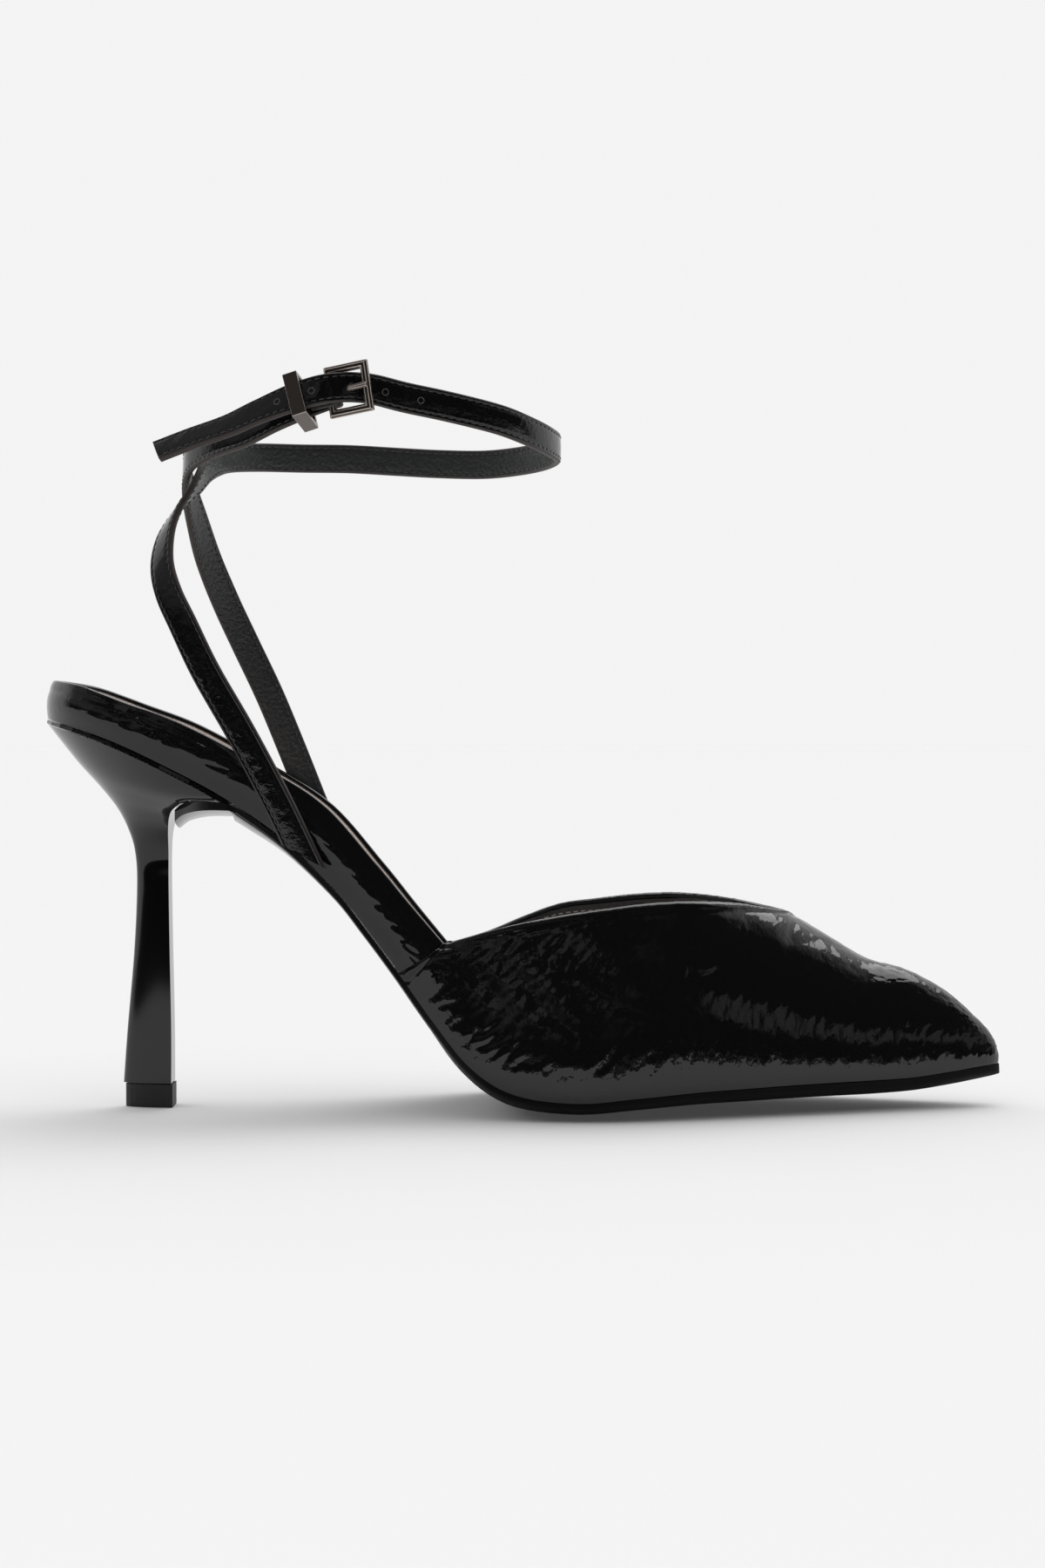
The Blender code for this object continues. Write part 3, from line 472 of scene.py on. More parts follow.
def piece(name, points, faces, looks, marks=None, node=None, sharp=60):
    """One shown mesh that rides on the shoe; marks number the faces' looks."""
    data = bpy.data.meshes.new(name)
    data.from_pydata([tuple(p) for p in points], [], faces)
    for skin in looks:
        data.materials.append(skin)
    if marks:
        data.polygons.foreach_set("material_index", marks)
    mesh = bmesh.new()
    mesh.from_mesh(data)
    bmesh.ops.remove_doubles(mesh, verts=mesh.verts, dist=SAME_PLACE)
    bmesh.ops.recalc_face_normals(mesh, faces=mesh.faces)
    mesh.to_mesh(data)
    mesh.free()
    data.shade_smooth()
    data.set_sharp_from_angle(angle=math.radians(sharp))
    made = placed(name, data)
    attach(made, "root")
    if node:
        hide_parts(node)
    return made


def lattice(columns, closed_columns, closed_rows):
    """Quads over equal columns of points."""
    count = len(columns)
    size = len(columns[0])
    quads = []
    for i in range(count if closed_columns else count - 1):
        for j in range(size if closed_rows else size - 1):
            n = (i + 1) % count
            m = (j + 1) % size
            quads.append((i * size + j, n * size + j, n * size + m, i * size + m))
    return quads


def end_caps(size, count):
    """Quads over the first and last ring of a tube, which pair the ring's two halves."""
    quads = []
    for base in (0, count - size):
        for k in range(size // 2 - 1):
            quads.append((base + k, base + k + 1, base + size - 2 - k, base + size - 1 - k))
    return quads


# Looks
def look(name, colour, roughness, metallic=0.0, specular=0.5):
    made = bpy.data.materials.new(name)
    made.use_nodes = True
    shader = made.node_tree.nodes["Principled BSDF"]
    shader.inputs["Base Color"].default_value = (*colour, 1)
    shader.inputs["Roughness"].default_value = roughness
    shader.inputs["Metallic"].default_value = metallic
    shader.inputs["Specular IOR Level"].default_value = specular
    return made


def relief(made, layers):
    """Fine grain as bumps. Layers: waves per metre, turn, detail, distortion, height in metres."""
    tree = made.node_tree
    place = tree.nodes.new("ShaderNodeTexCoord")
    normal = None
    for stretch, turn, detail, distortion, height in layers:
        space = tree.nodes.new("ShaderNodeMapping")
        space.inputs["Scale"].default_value = stretch
        space.inputs["Rotation"].default_value = [math.radians(a) for a in turn]
        tree.links.new(place.outputs["Object"], space.inputs["Vector"])
        grain = tree.nodes.new("ShaderNodeTexNoise")
        grain.inputs["Scale"].default_value = 1.0
        grain.inputs["Detail"].default_value = detail
        grain.inputs["Distortion"].default_value = distortion
        tree.links.new(space.outputs["Vector"], grain.inputs["Vector"])
        bump = tree.nodes.new("ShaderNodeBump")
        bump.inputs["Distance"].default_value = height
        bump.inputs["Strength"].default_value = 1.0
        tree.links.new(grain.outputs["Fac"], bump.inputs["Height"])
        if normal:
            tree.links.new(normal, bump.inputs["Normal"])
        normal = bump.outputs["Normal"]
    tree.links.new(normal, tree.nodes["Principled BSDF"].inputs["Normal"])
    return made


def coordinates(tree, space):
    """Places in a space as one vector, and its axes by name."""
    place = tree.nodes.new("ShaderNodeTexCoord").outputs[space]
    parts = tree.nodes.new("ShaderNodeSeparateXYZ")
    tree.links.new(place, parts.inputs["Vector"])
    return place, parts.outputs


def between(tree, source, low, high, first=0.0, last=1.0, kind="SMOOTHSTEP"):
    """Value that goes from first to last while its source goes from low to high."""
    step = tree.nodes.new("ShaderNodeMapRange")
    step.interpolation_type = kind
    for name, value in (("From Min", low), ("From Max", high), ("To Min", first), ("To Max", last)):
        step.inputs[name].default_value = value
    tree.links.new(source, step.inputs["Value"])
    return step.outputs["Result"]


def combine(tree, operation, a, b):
    """Sum, product or the like of a value and another value or a plain number."""
    node = tree.nodes.new("ShaderNodeMath")
    node.operation = operation
    tree.links.new(a, node.inputs[0])
    if isinstance(b, float):
        node.inputs[1].default_value = b
    else:
        tree.links.new(b, node.inputs[1])
    return node.outputs["Value"]


PATENT = relief(look("patent", (0.0045, 0.0045, 0.005), 0.045), (
    ((620, 420, 300), (0, 25, 0), 2.0, 0.6, 0.00006),
    ((1200, 1100, 900), (0, 15, 0), 2.0, 0.2, 0.000015),
))
STRAP_PATENT = relief(look("strap_patent_look", (0.0045, 0.0045, 0.005), 0.10), (
    ((700, 900, 900), (0, 0, 0), 2.0, 0.4, 0.00006),
))
GLOSS = look("gloss_cover", (0.004, 0.004, 0.0045), 0.06)
SOLE_BLACK = look("sole_black", (0.006, 0.006, 0.006), 0.16)
CHARCOAL = relief(look("charcoal_lining", (0.026, 0.027, 0.028), 0.36), (
    ((1100, 1100, 1100), (0, 0, 0), 3.0, 0.0, 0.00035),
))
PALE = relief(look("pale_leather", (0.78, 0.71, 0.67), 0.42), (
    ((1100, 1100, 1100), (0, 0, 0), 3.0, 0.0, 0.0001),
))


# Outsole's wear: places along the shoe where it begins and is full; value under the shank
# and under the forefoot
WEAR_PLACES = (-0.030, -0.008)
WEAR = (("Roughness", 0.16, 0.65), ("Specular IOR Level", 0.5, 0.08))


def worn_forefoot(made):
    """Glossy under the shank, matte where the sole meets the floor."""
    tree = made.node_tree
    axes = coordinates(tree, "Object")[1]
    for name, shank, forefoot in WEAR:
        wear_and_edge_highlight = between(tree, axes["X"], *WEAR_PLACES, shank, forefoot, "LINEAR")
        tree.links.new(wear_and_edge_highlight, tree.nodes["Principled BSDF"].inputs[name])


worn_forefoot(SOLE_BLACK)
EDGE_PAINT = look("edge_paint", (0.035, 0.027, 0.024), 0.55)
THREAD = look("thread", (0.06, 0.06, 0.062), 0.35)
LIGHT_THREAD = look("light_thread", (0.38, 0.34, 0.32), 0.4)
# Grey look of the pressed rims, far lighter than the patent: the rims are real shapes, their grey
# is a painted highlight
RIM_PAINTED_HIGHLIGHT = look("hole_rim", (0.12, 0.115, 0.11), 0.25)
RUBBER = look("rubber", (0.012, 0.011, 0.011), 0.6)
METAL = relief(look("gunmetal", (0.115, 0.098, 0.088), 0.30, 1.0), (
    ((500, 500, 500), (0, 0, 0), 3.0, 0.0, 0.00003),
))
# Pale, half metallic look for the bevelled edges of the buckle, keeper and prong: a painted
# highlight along the edges
PAINTED_EDGE_HIGHLIGHT_METAL = look("painted_edge_highlight_metal", (0.62, 0.54, 0.49), 0.35, 0.35)


# Creases of the shell, given one by one. row: place along the shoe; up: share of the wall's
# height; side: -1 lateral, 1 medial; reach, width, depth in millimetres (a ridge
# has a negative depth); turn: degrees from the shoe's length, rising to the toe
CREASES = (
    (3.2, 0.62, -1, 5.0, 0.9, 0.16, -14),
    (3.7, 0.55, -1, 6.0, 1.0, 0.20, -18),
    (4.3, 0.66, -1, 5.0, 0.9, 0.16, -20),
    (4.7, 0.50, -1, 6.5, 1.1, 0.20, -22),
    (5.3, 0.60, -1, 5.0, 0.9, 0.18, -26),
    (5.6, 0.44, -1, 4.5, 0.9, 0.14, -28),
    (6.0, 0.56, -1, 5.0, 1.0, 0.18, -32),
    (8.3, 0.60, -1, 5.0, 1.0, 0.20, -60),
    (8.6, 0.45, -1, 6.0, 1.0, 0.18, -58),
    (8.85, 0.66, -1, 4.0, 0.9, 0.16, -62),
    (10.2, 0.62, -1, 9.0, 1.6, 0.26, -52),
    (10.9, 0.55, -1, 10.0, 1.8, 0.28, -50),
    (11.6, 0.62, -1, 11.0, 1.8, 0.30, -42),
    (12.3, 0.45, -1, 10.0, 1.7, 0.26, -36),
    (12.9, 0.60, -1, 12.0, 2.0, 0.28, -30),
    (14.0, 0.42, -1, 9.0, 1.8, 0.20, -14),
    (15.2, 0.55, -1, 10.0, 2.2, 0.16, 8),
    (17.6, 0.74, -1, 8.0, 2.6, 0.18, 24),
    (18.8, 0.66, -1, 7.0, 2.6, 0.14, 30),
    (20.0, 0.60, -1, 6.0, 2.2, 0.10, 20),
    (21.2, 0.50, -1, 5.0, 1.8, 0.08, 10),
    (3.4, 0.60, 1, 5.0, 0.9, 0.16, -14),
    (4.4, 0.52, 1, 6.0, 1.0, 0.18, -20),
    (5.4, 0.60, 1, 5.0, 0.9, 0.18, -26),
    (8.4, 0.55, 1, 5.0, 1.0, 0.18, -58),
    (10.3, 0.60, 1, 9.0, 1.6, 0.24, -50),
    (11.4, 0.52, 1, 10.0, 1.8, 0.26, -44),
    (12.6, 0.55, 1, 10.0, 1.8, 0.24, -34),
    (14.4, 0.48, 1, 9.0, 2.0, 0.18, -10),
    (17.6, 0.72, 1, 7.0, 2.6, 0.16, 24),
)


class Column:
    """One section of the last, with everything that its points share."""

    def __init__(self, s, side):
        self.s = s
        self.side = side
        self.foot = edge_point(s, side)
        self.out = edge_outward(s, side)
        x, y, z, self.cut, self.belly = top_point(s, side)
        self.run = (x - self.foot.x, y - self.foot.y, z - self.foot.z)
        self.fan = min(1.0, max(0.0, (s - VERTEX_ROW) / FAN_ROWS))
        self.power = BELLY_POWERS[0] + (BELLY_POWERS[1] - BELLY_POWERS[0]) * self.fan
        over_quarter = ease(s, 0.4, 2.6) * (1 - ease(s, VERTEX_ROW, VERTEX_ROW + 1.6))
        self.swell = QUARTER_SWELL * over_quarter

    def at(self, u):
        angle = u * self.cut
        inward = (1 - math.cos(angle)) / (1 - math.cos(self.cut))
        upward = math.sin(angle) / math.sin(self.cut)
        forward = upward + (inward - upward) * self.fan
        place = self.foot + Vector((
            self.run[0] * forward, self.run[1] * inward, self.run[2] * upward))
        belly = self.belly * math.sin(math.pi * u ** self.power)
        swell = self.swell * ease(u, *SWELL_GROWS) * (1 - ease(u, *SWELL_ENDS))
        return place + self.out * (belly + swell)


def wall_columns():
    rows = []
    for row in range(TIP_ROW):
        for part in range(ROW_STEPS):
            rows.append(row + part / ROW_STEPS)
            if row == VERTEX_ROW and part < STEP_DOUBLED:
                rows.append(row + part / ROW_STEPS + STEP_ROWS)
    rows.append(float(TIP_ROW))
    lateral = [Column(s, -1) for s in rows]
    medial = [Column(s, 1) for s in rows[-2:0:-1]]
    return lateral + medial


def grid_normals(grid):
    count = len(grid)
    normals = []
    for i in range(count):
        ahead = grid[(i + 1) % count]
        behind = grid[i - 1]
        column = []
        for j in range(len(grid[i])):
            low = max(j - 1, 0)
            high = min(j + 1, len(grid[i]) - 1)
            along = ahead[j] - behind[j]
            cross = along.cross(grid[i][high] - grid[i][low])
            column.append(cross.normalized() if cross.length > 1e-13 else column[-1])
        normals.append(column)
    return normals


def crease_list():
    """Centres, directions and sizes of the creases in the shoe's own space."""
    found = []
    for row, up, side, reach, width, depth, turn in CREASES:
        column = Column(row, side)
        centre = column.at(up)
        along = (Column(row + 0.1, side).at(up) - Column(row - 0.1, side).at(up)).normalized()
        rise = column.at(min(up + 0.05, 1)) - column.at(up - 0.05)
        rise = (rise - along * rise.dot(along)).normalized()
        a = math.radians(turn)
        direction = Vector((math.cos(a), 0, math.sin(a)))
        flat = along.cross(rise).normalized()
        direction = (direction - flat * direction.dot(flat)).normalized()
        found.append((centre, direction, flat, reach * MM, width * MM, depth * MM))
    return found


# Fine wrinkles: height in millimetres, waves per millimetre along and across the wrinkle
QUARTER_WRINKLES = (0.22, 0.30, 0.715)
VAMP_WRINKLES = (0.22, 0.95, 0.253)
RIDGE_WRINKLES = (0.09, 0.45, 1.3)
# Their waves per millimetre across the shoe; bending; a finer layer's size and share
WRINKLES_ACROSS = 0.4
WRINKLE_BEND = 1.5
FINER_WRINKLES = (2.1, 0.30)
# Direction of the ridge's wrinkles: cosine and sine of its turn
RIDGE_TURN = (0.82, -0.57)


def wrinkle(place, s, u):
    """Height of the patent's fine wrinkles, longer along the quarter, steeper on the vamp."""
    if s <= VERTEX_ROW:
        amount, along, across = QUARTER_WRINKLES
        slope = math.radians(-18 - 5.0 * max(0.0, s - 3))
        amount *= ease(u, 0.30, 0.55) * (1 - ease(u, 0.74, 0.90)) * ease(s, 1.6, 3.0)
    else:
        amount, along, across = VAMP_WRINKLES
        slope = math.radians(-52 + 40 * ease(s, 11, 18) * (1 - 0.5 * ease(u, 0.3, 0.8)))
        amount *= ease(u, 0.05, 0.17) * (1 - 0.3 * ease(u, 0.25, 0.5))
        amount *= (1 - 0.40 * ease(s, 12.5, 17)) * (1 - 0.6 * ease(u, 0.90, 1.0))
        amount *= ease(s, VERTEX_ROW + 0.2, VERTEX_ROW + 1.2)

    def turned(cosine, sine, length, side, height):
        x = place.x * cosine + place.z * sine
        z = place.z * cosine - place.x * sine
        return Vector((x / MM * length, place.y / MM * side, z / MM * height))

    spot = turned(math.cos(slope), math.sin(slope), along, WRINKLES_ACROSS, across)
    spot.z += WRINKLE_BEND * noise.noise(spot * 0.35)
    finer, share = FINER_WRINKLES
    height = amount * (noise.noise(spot) + share * noise.noise(spot * finer))
    ridge = ease(u, 0.50, 0.72) * ease(s, 13, 15) * (1 - ease(s, 21.5, 23.5))
    if ridge:
        amount, along, across = RIDGE_WRINKLES
        height += amount * ridge * noise.noise(turned(*RIDGE_TURN, along, across, across))
    return height * MM


def bead(below):
    """Rounded fold along an edge and the shallow channel beside it."""
    height = 0.0
    for rise, place, width in (BEAD, (-CHANNEL[0], *CHANNEL[1:])):
        height += rise * math.exp(-((below - place) / width) ** 2)
    return height


def soften_throat(columns, base):
    """The vamp runs on without a break where its topline ends."""
    rows, rounds = THROAT_SMOOTHING
    near = [i for i, column in enumerate(columns) if abs(column.s - THROAT_ROW) < rows]
    for _ in range(rounds):
        before = {i: list(base[i]) for n in near for i in (n - 1, n, n + 1)}
        for i in near:
            last = WALL_STEPS if columns[i].s <= THROAT_ROW else WALL_STEPS + 1
            for j in range(1, last - 1):
                share = 0.5 * ease(j / WALL_STEPS, 0.0, 0.2)
                middle = (before[i - 1][j] + before[i + 1][j]) / 2
                base[i][j] = before[i][j].lerp(middle, share)


def share_ridge(columns, normals):
    """One direction for both sides along the ridge of the closed vamp."""
    for i, column in enumerate(columns):
        if column.side < 0 and THROAT_ROW <= column.s < TIP_ROW:
            twin = (len(columns) - i) % len(columns)
            shared = (normals[i][-1] + normals[twin][-1]).normalized()
            normals[i][-1] = shared
            normals[twin][-1] = shared


def crease_depth(place, creases):
    total = 0.0
    for centre, direction, flat, reach, width, depth in creases:
        gap = place - centre
        if gap.length_squared > (CREASE_LIMIT * reach) ** 2:
            continue
        along = gap.dot(direction)
        across = gap.dot(flat.cross(direction))
        total += depth * math.exp(-(along / reach) ** 2 - (across / width) ** 2)
    return total


def upper_skins(columns):
    """Outer skin with its relief, and the lining, column by column."""
    shares = [j / WALL_STEPS for j in range(WALL_STEPS + 1)]
    base = [[column.at(u) for u in shares] for column in columns]
    soften_throat(columns, base)
    normals = grid_normals(base)
    share_ridge(columns, normals)
    creases = crease_list()
    throat = next(column.at(1.0) for column in columns if column.s == THROAT_ROW)
    rear_row = (edge_point(VERTEX_ROW + 1, -1) - edge_point(VERTEX_ROW, -1)).length
    step = WALL_STEPS // LINING_STEPS
    outer = []
    inner = []
    for column, places, ups in zip(columns, base, normals):
        s = column.s
        over = VAMP_OVERLAY if s > VERTEX_ROW else 0.0
        rim = places[-1] if s <= THROAT_ROW else throat
        skin = []
        for u, place, up in zip(shares, places, ups):
            height = wrinkle(place, s, u) - crease_depth(place, creases)
            height += bead((rim - place).length) * (QUARTER_BEAD if s < VERTEX_ROW else 1.0)
            if VERTEX_ROW < s < VERTEX_ROW + 1:
                height += REAR_BEAD * bead((s - VERTEX_ROW - STEP_ROWS) * rear_row)
            skin.append(place + up * (over + height * ease(u, 0.0, RELIEF_START)))
        outer.append(skin)
        inner.append([place - up * WALL for place, up in zip(places[::step], ups[::step])])
    return outer, inner


def topline_fold(skin, lining):
    """Rounded turn from the skin's upper end over to the lining's."""
    up = (skin[-1] - skin[-2]).normalized()
    middle = (skin[-1] + lining[-1]) / 2
    arm = (skin[-1] - lining[-1]) / 2
    fold = []
    for k in range(1, FOLD_STEPS):
        a = math.pi * k / FOLD_STEPS
        fold.append(middle + arm * math.cos(a) + up * arm.length * FOLD_FULLNESS * math.sin(a))
    return fold


def upper_dressed():
    columns = wall_columns()
    outer, inner = upper_skins(columns)
    folds = [topline_fold(skin, lining) for skin, lining in zip(outer, inner)]
    points = [p for grid in (outer, inner, folds) for places in grid for p in places]
    count = len(columns)
    wide = WALL_STEPS + 1
    deep = LINING_STEPS + 1
    inner_at = count * wide
    fold_at = inner_at + count * deep
    faces = []
    marks = []

    def over_fold(i):
        """Point numbers from the skin's upper end over the fold to the lining's."""
        first = fold_at + i * (FOLD_STEPS - 1)
        turn = list(range(first, first + FOLD_STEPS - 1))
        return [i * wide + WALL_STEPS] + turn + [inner_at + i * deep + LINING_STEPS]

    for i in range(count):
        n = (i + 1) % count
        s = max(columns[i].s, columns[n].s)
        for j in range(WALL_STEPS):
            a = i * wide + j
            b = n * wide + j
            faces.append((a, b, b + 1, a + 1))
            marks.append(0)
        for j in range(LINING_STEPS):
            a = inner_at + i * deep + j
            b = inner_at + n * deep + j
            faces.append((a, a + 1, b + 1, b))
            marks.append(2 if s > VERTEX_ROW else 1)
        faces.append((i * wide, n * wide, inner_at + n * deep, inner_at + i * deep))
        marks.append(0)
        if s > THROAT_ROW:
            continue
        here = over_fold(i)
        ahead = over_fold(n)
        for quad in zip(here, ahead, ahead[1:], here[1:]):
            faces.append(quad)
            marks.append(0)
    used = sorted({k for quad in faces for k in quad})
    renumber = {k: n for n, k in enumerate(used)}
    points = [points[k] for k in used]
    faces = [tuple(renumber[k] for k in quad) for quad in faces]
    piece("upper_shell", points, faces, (PATENT, PALE, CHARCOAL), marks, "upper", 50)
    return columns, inner


# Straps: half of the cut across, in millimetres from the middle to the edge
HALF_STRAP = STRAP_WIDTH / 2 / MM
FRONT = (0.0, 0.6, 1.2, 1.7, 2.15, 2.36, 2.5, 2.64, 2.85, 3.1)
SIDE = ((3.36, 0.66), (HALF_STRAP, 0.25), (HALF_STRAP, -0.25), (3.36, -0.66))
BACK = (3.1, 2.7, 2.5, 2.3, 1.2, 0.0)
# Stitch line: distance from the strap's middle, half width and depth of its groove in front,
# height of its ridge behind; all in millimetres
SEAM = 2.5
SEAM_WIDTH = 0.16
SEAM_DEPTH = 0.15
SEAM_BACK = 0.08
# Middle of the strap between the seams: half width and height of its dome in millimetres
DOME = (2.4, 0.10)
# Slope by which the risers' lower ends face the floor, and the rows over which it fades
RISER_NOD = 0.22
NOD_ROWS = (2.5, 6.5)
# Long strap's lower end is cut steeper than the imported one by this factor
STEEPER_END = 1.25
# Punched holes: places along the shoe, radius, sides; pressed rim: radius, steps, sides and
# height over the strap
HOLE_PLACES = (-0.0241, -0.0321, -0.0402, -0.0488, -0.0566)
HOLE_RADIUS = 0.00058
HOLE_SIDES = 20
RIM_RADIUS = 0.00013
RIM_STEPS = 24
RIM_SIDES = 6
RIM_LIFT = 0.00004
# Row of the long strap after which all holes lie, and halvings of the search for a hole's row
HOLES_FROM = 22.0
HOLE_SEARCH = 30
# Stitches: length and spacing in millimetres; radii and depth in the strap in metres
STITCH_LENGTH = 1.25
STITCH_SPACING = 1.85
STRAP_STITCH = 0.00016
TOPLINE_STITCH = 0.00018
STITCH_SUNK = 0.00003
# Stitches stay this many millimetres away from the straps' lower ends, from the long strap's
# tip and from the end of the short strap's rows
FIRST_STITCH = 4.5
TIP_FREE = 2.0
LOOP_FREE = 1.0
# Spindle of a stitch: share of its length, share of its radius
SPINDLE = ((-0.5, 0.2), (-0.36, 0.85), (0.0, 1.0), (0.36, 0.85), (0.5, 0.2))
STITCH_SIDES = 6
# Topline's stitches: distance below the edge
TOPLINE_SEAM = 0.0017


def strap_cut():
    """Points of a strap's cut: across, share of the half thickness, kind of skin."""
    right = [(a, 1.0, 0) for a in FRONT]
    right += [(a, b, 1) for a, b in SIDE]
    right += [(a, -1.0, 2) for a in BACK]
    left = [(-a, b, kind) for a, b, kind in reversed(right[1:-1])]
    return right + left


# Wrinkles of the straps in millimetres: plain part, end and middle of the riser, loose end
STRAP_WRINKLES = 0.02
RISER_WRINKLES = (0.03, 0.15)
TIP_WRINKLES = 0.07


def strap_height(name, a, t, run):
    """Height of the patent side over the plain strap, in metres."""
    groove = -SEAM_DEPTH * math.exp(-((abs(a) - SEAM) / SEAM_WIDTH) ** 2)
    dome = DOME[1] * (1 - (a / DOME[0]) ** 2) if abs(a) < DOME[0] else 0.0
    rough = STRAP_WRINKLES
    spot = Vector((run * 0.9, a * 0.35, 3.0))
    if name == "long_strap_shell" and t < 5:
        least, more = RISER_WRINKLES
        rough = least + more * ease(t, 0.5, 1.0) * (1 - ease(t, 3.2, 4.6))
        spot = Vector((run * 0.62 + a * 0.12, a * 0.30, 1.0))
    if name == "long_strap_shell" and t > 29:
        rough = TIP_WRINKLES
        spot = Vector((run * 0.55 + a * 0.5, a * 0.2, 5.0))
    inside = 1 - ease(abs(a), 1.9, 2.4)
    wave = noise.noise(spot) + 0.5 * noise.noise(spot * 2.3)
    return (groove + dome + rough * wave * inside) * MM


def nodding(along, out, across, slope):
    """Outward and width directions of a strap turned toward the floor by the slope."""
    lower = out - Vector((0, 0, slope))
    lower = (lower - along * lower.dot(along)).normalized()
    turned = along.cross(lower)
    return lower, turned if turned.dot(across) > 0 else -turned


def strap_shell(name, node, rows, lean_start, lean_end, extra=()):
    """Strap along its rows, with slanted ends or with an extra end of its own sections."""
    last = len(rows) - 1
    cut = strap_cut()
    columns = []
    kinds = [kind for _, _, kind in cut]
    run = 0.0
    before = None
    stations = []
    step = 1.0 / STRAP_STEPS
    for k in range(last * STRAP_ROW_STEPS + 1):
        t = k / STRAP_ROW_STEPS
        place, along, out, across = strap_frame(rows, t)
        out, across = nodding(along, out, across, RISER_NOD * (1 - ease(t, *NOD_ROWS)))
        if before is not None:
            run += (place - before).length / MM
        before = place
        stations.append((run, t))
        lean = lean_start * max(0.0, 1 - t / step)
        if not extra:
            lean += lean_end * max(0.0, 1 - (last - t) / step)
        section = []
        for a, b, kind in cut:
            high = b * STRAP_THICKNESS / 2
            if kind == 0:
                high += strap_height(name, a, t, run)
            if kind == 2:
                high += SEAM_BACK * MM * math.exp(-((abs(a) - SEAM) / SEAM_WIDTH) ** 2)
            section.append(place + across * a * MM + out * high + along * a * MM * lean)
        columns.append(section)
    for place, out, across in extra:
        section = []
        for a, b, kind in cut:
            section.append(place + across * a * MM + out * b * LOOP_THICKNESS / 2)
        columns.append(section)
    points = [p for section in columns for p in section]
    faces = lattice(columns, False, True)
    marks = []
    size = len(cut)
    for _ in columns[1:]:
        for j in range(size):
            pair = {kinds[j], kinds[(j + 1) % size]}
            marks.append(1 if 1 in pair else min(pair))
    faces.append(tuple(range(size)))
    faces.append(tuple(range(len(points) - size, len(points))))
    marks += [1, 1]
    looks = (STRAP_PATENT, EDGE_PAINT, CHARCOAL)
    return piece(name, points, faces, looks, marks, node, 70), stations


def row_at(stations, run):
    """Row number at a distance along the strap."""
    for (a, low), (b, high) in zip(stations, stations[1:]):
        if run <= b:
            return low + (high - low) * (run - a) / max(b - a, 1e-9)
    return stations[-1][1]


def thread_shape(points, faces, place, along, out, radius):
    """One stitch: a spindle."""
    across = along.cross(out).normalized()
    start = len(points)
    for share, wide in SPINDLE:
        for k in range(STITCH_SIDES):
            a = 2 * math.pi * k / STITCH_SIDES
            around = across * math.cos(a) + out * math.sin(a)
            points.append(place + along * share * STITCH_LENGTH * MM + around * radius * wide)
    grid = [[None] * STITCH_SIDES] * len(SPINDLE)
    faces.extend(tuple(start + n for n in quad) for quad in lattice(grid, False, True))
    for first in (start, len(points) - STITCH_SIDES):
        faces.append(tuple(first + k for k in range(STITCH_SIDES)))


def strap_stitches(name, rows, stations, free_end):
    points = []
    faces = []
    run = FIRST_STITCH
    while run < stations[-1][0] - free_end:
        place, along, out, across = strap_frame(rows, row_at(stations, run))
        for a in (-SEAM, SEAM):
            for side in (1, -1):
                high = STRAP_THICKNESS / 2 - side * STITCH_SUNK
                spot = place + across * a * MM + out * side * high
                thread_shape(points, faces, spot, along, out * side, STRAP_STITCH)
        run += STITCH_SPACING
    piece(name, points, faces, (THREAD,))


def hole_frames():
    """Strap frames at the holes, found by the holes' places along the shoe."""
    found = []
    for x in HOLE_PLACES:
        low, high = HOLES_FROM, float(len(LONG_STRAP) - 1)
        for _ in range(HOLE_SEARCH):
            middle = (low + high) / 2
            if through(LONG_STRAP, middle)[0] * LAST_LENGTH > x:
                low = middle
            else:
                high = middle
        found.append(strap_frame(LONG_STRAP, low))
    return found


# Rings round the holes, in the grey look that paints their highlight
def hole_rims(frames):
    points = []
    faces = []
    for place, along, out, across in frames:
        start = len(points)
        centre = place + out * STRAP_THICKNESS / 2
        for k in range(RIM_STEPS):
            a = 2 * math.pi * k / RIM_STEPS
            away = along * math.cos(a) + across * math.sin(a)
            for m in range(RIM_SIDES):
                b = 2 * math.pi * m / RIM_SIDES
                reach = HOLE_RADIUS + RIM_RADIUS * (1 + math.cos(b))
                points.append(centre + away * reach + out * (RIM_LIFT + RIM_RADIUS * math.sin(b)))
        for quad in lattice([[None] * RIM_SIDES] * RIM_STEPS, True, True):
            faces.append(tuple(start + n for n in quad))
    piece("hole_rims", points, faces, (RIM_PAINTED_HIGHLIGHT,))


def punch_holes(strap):
    """Round holes through the long strap's front part, one of them for the prong."""
    frames = hole_frames()
    hole_rims(frames)
    mesh = bmesh.new()
    for place, along, out, across in frames:
        turn = Matrix((along, across, out)).transposed().to_4x4()
        bmesh.ops.create_cone(mesh, cap_ends=True, segments=HOLE_SIDES, radius1=HOLE_RADIUS,
                              radius2=HOLE_RADIUS, depth=4 * STRAP_THICKNESS,
                              matrix=Matrix.Translation(place) @ turn)
    data = bpy.data.meshes.new("punch")
    mesh.to_mesh(data)
    mesh.free()
    punch = placed("punch", data)
    data.materials.append(EDGE_PAINT)
    punch.hide_render = True
    hole = strap.modifiers.new("holes", "BOOLEAN")
    hole.operation = "DIFFERENCE"
    hole.solver = "EXACT"
    hole.object = punch


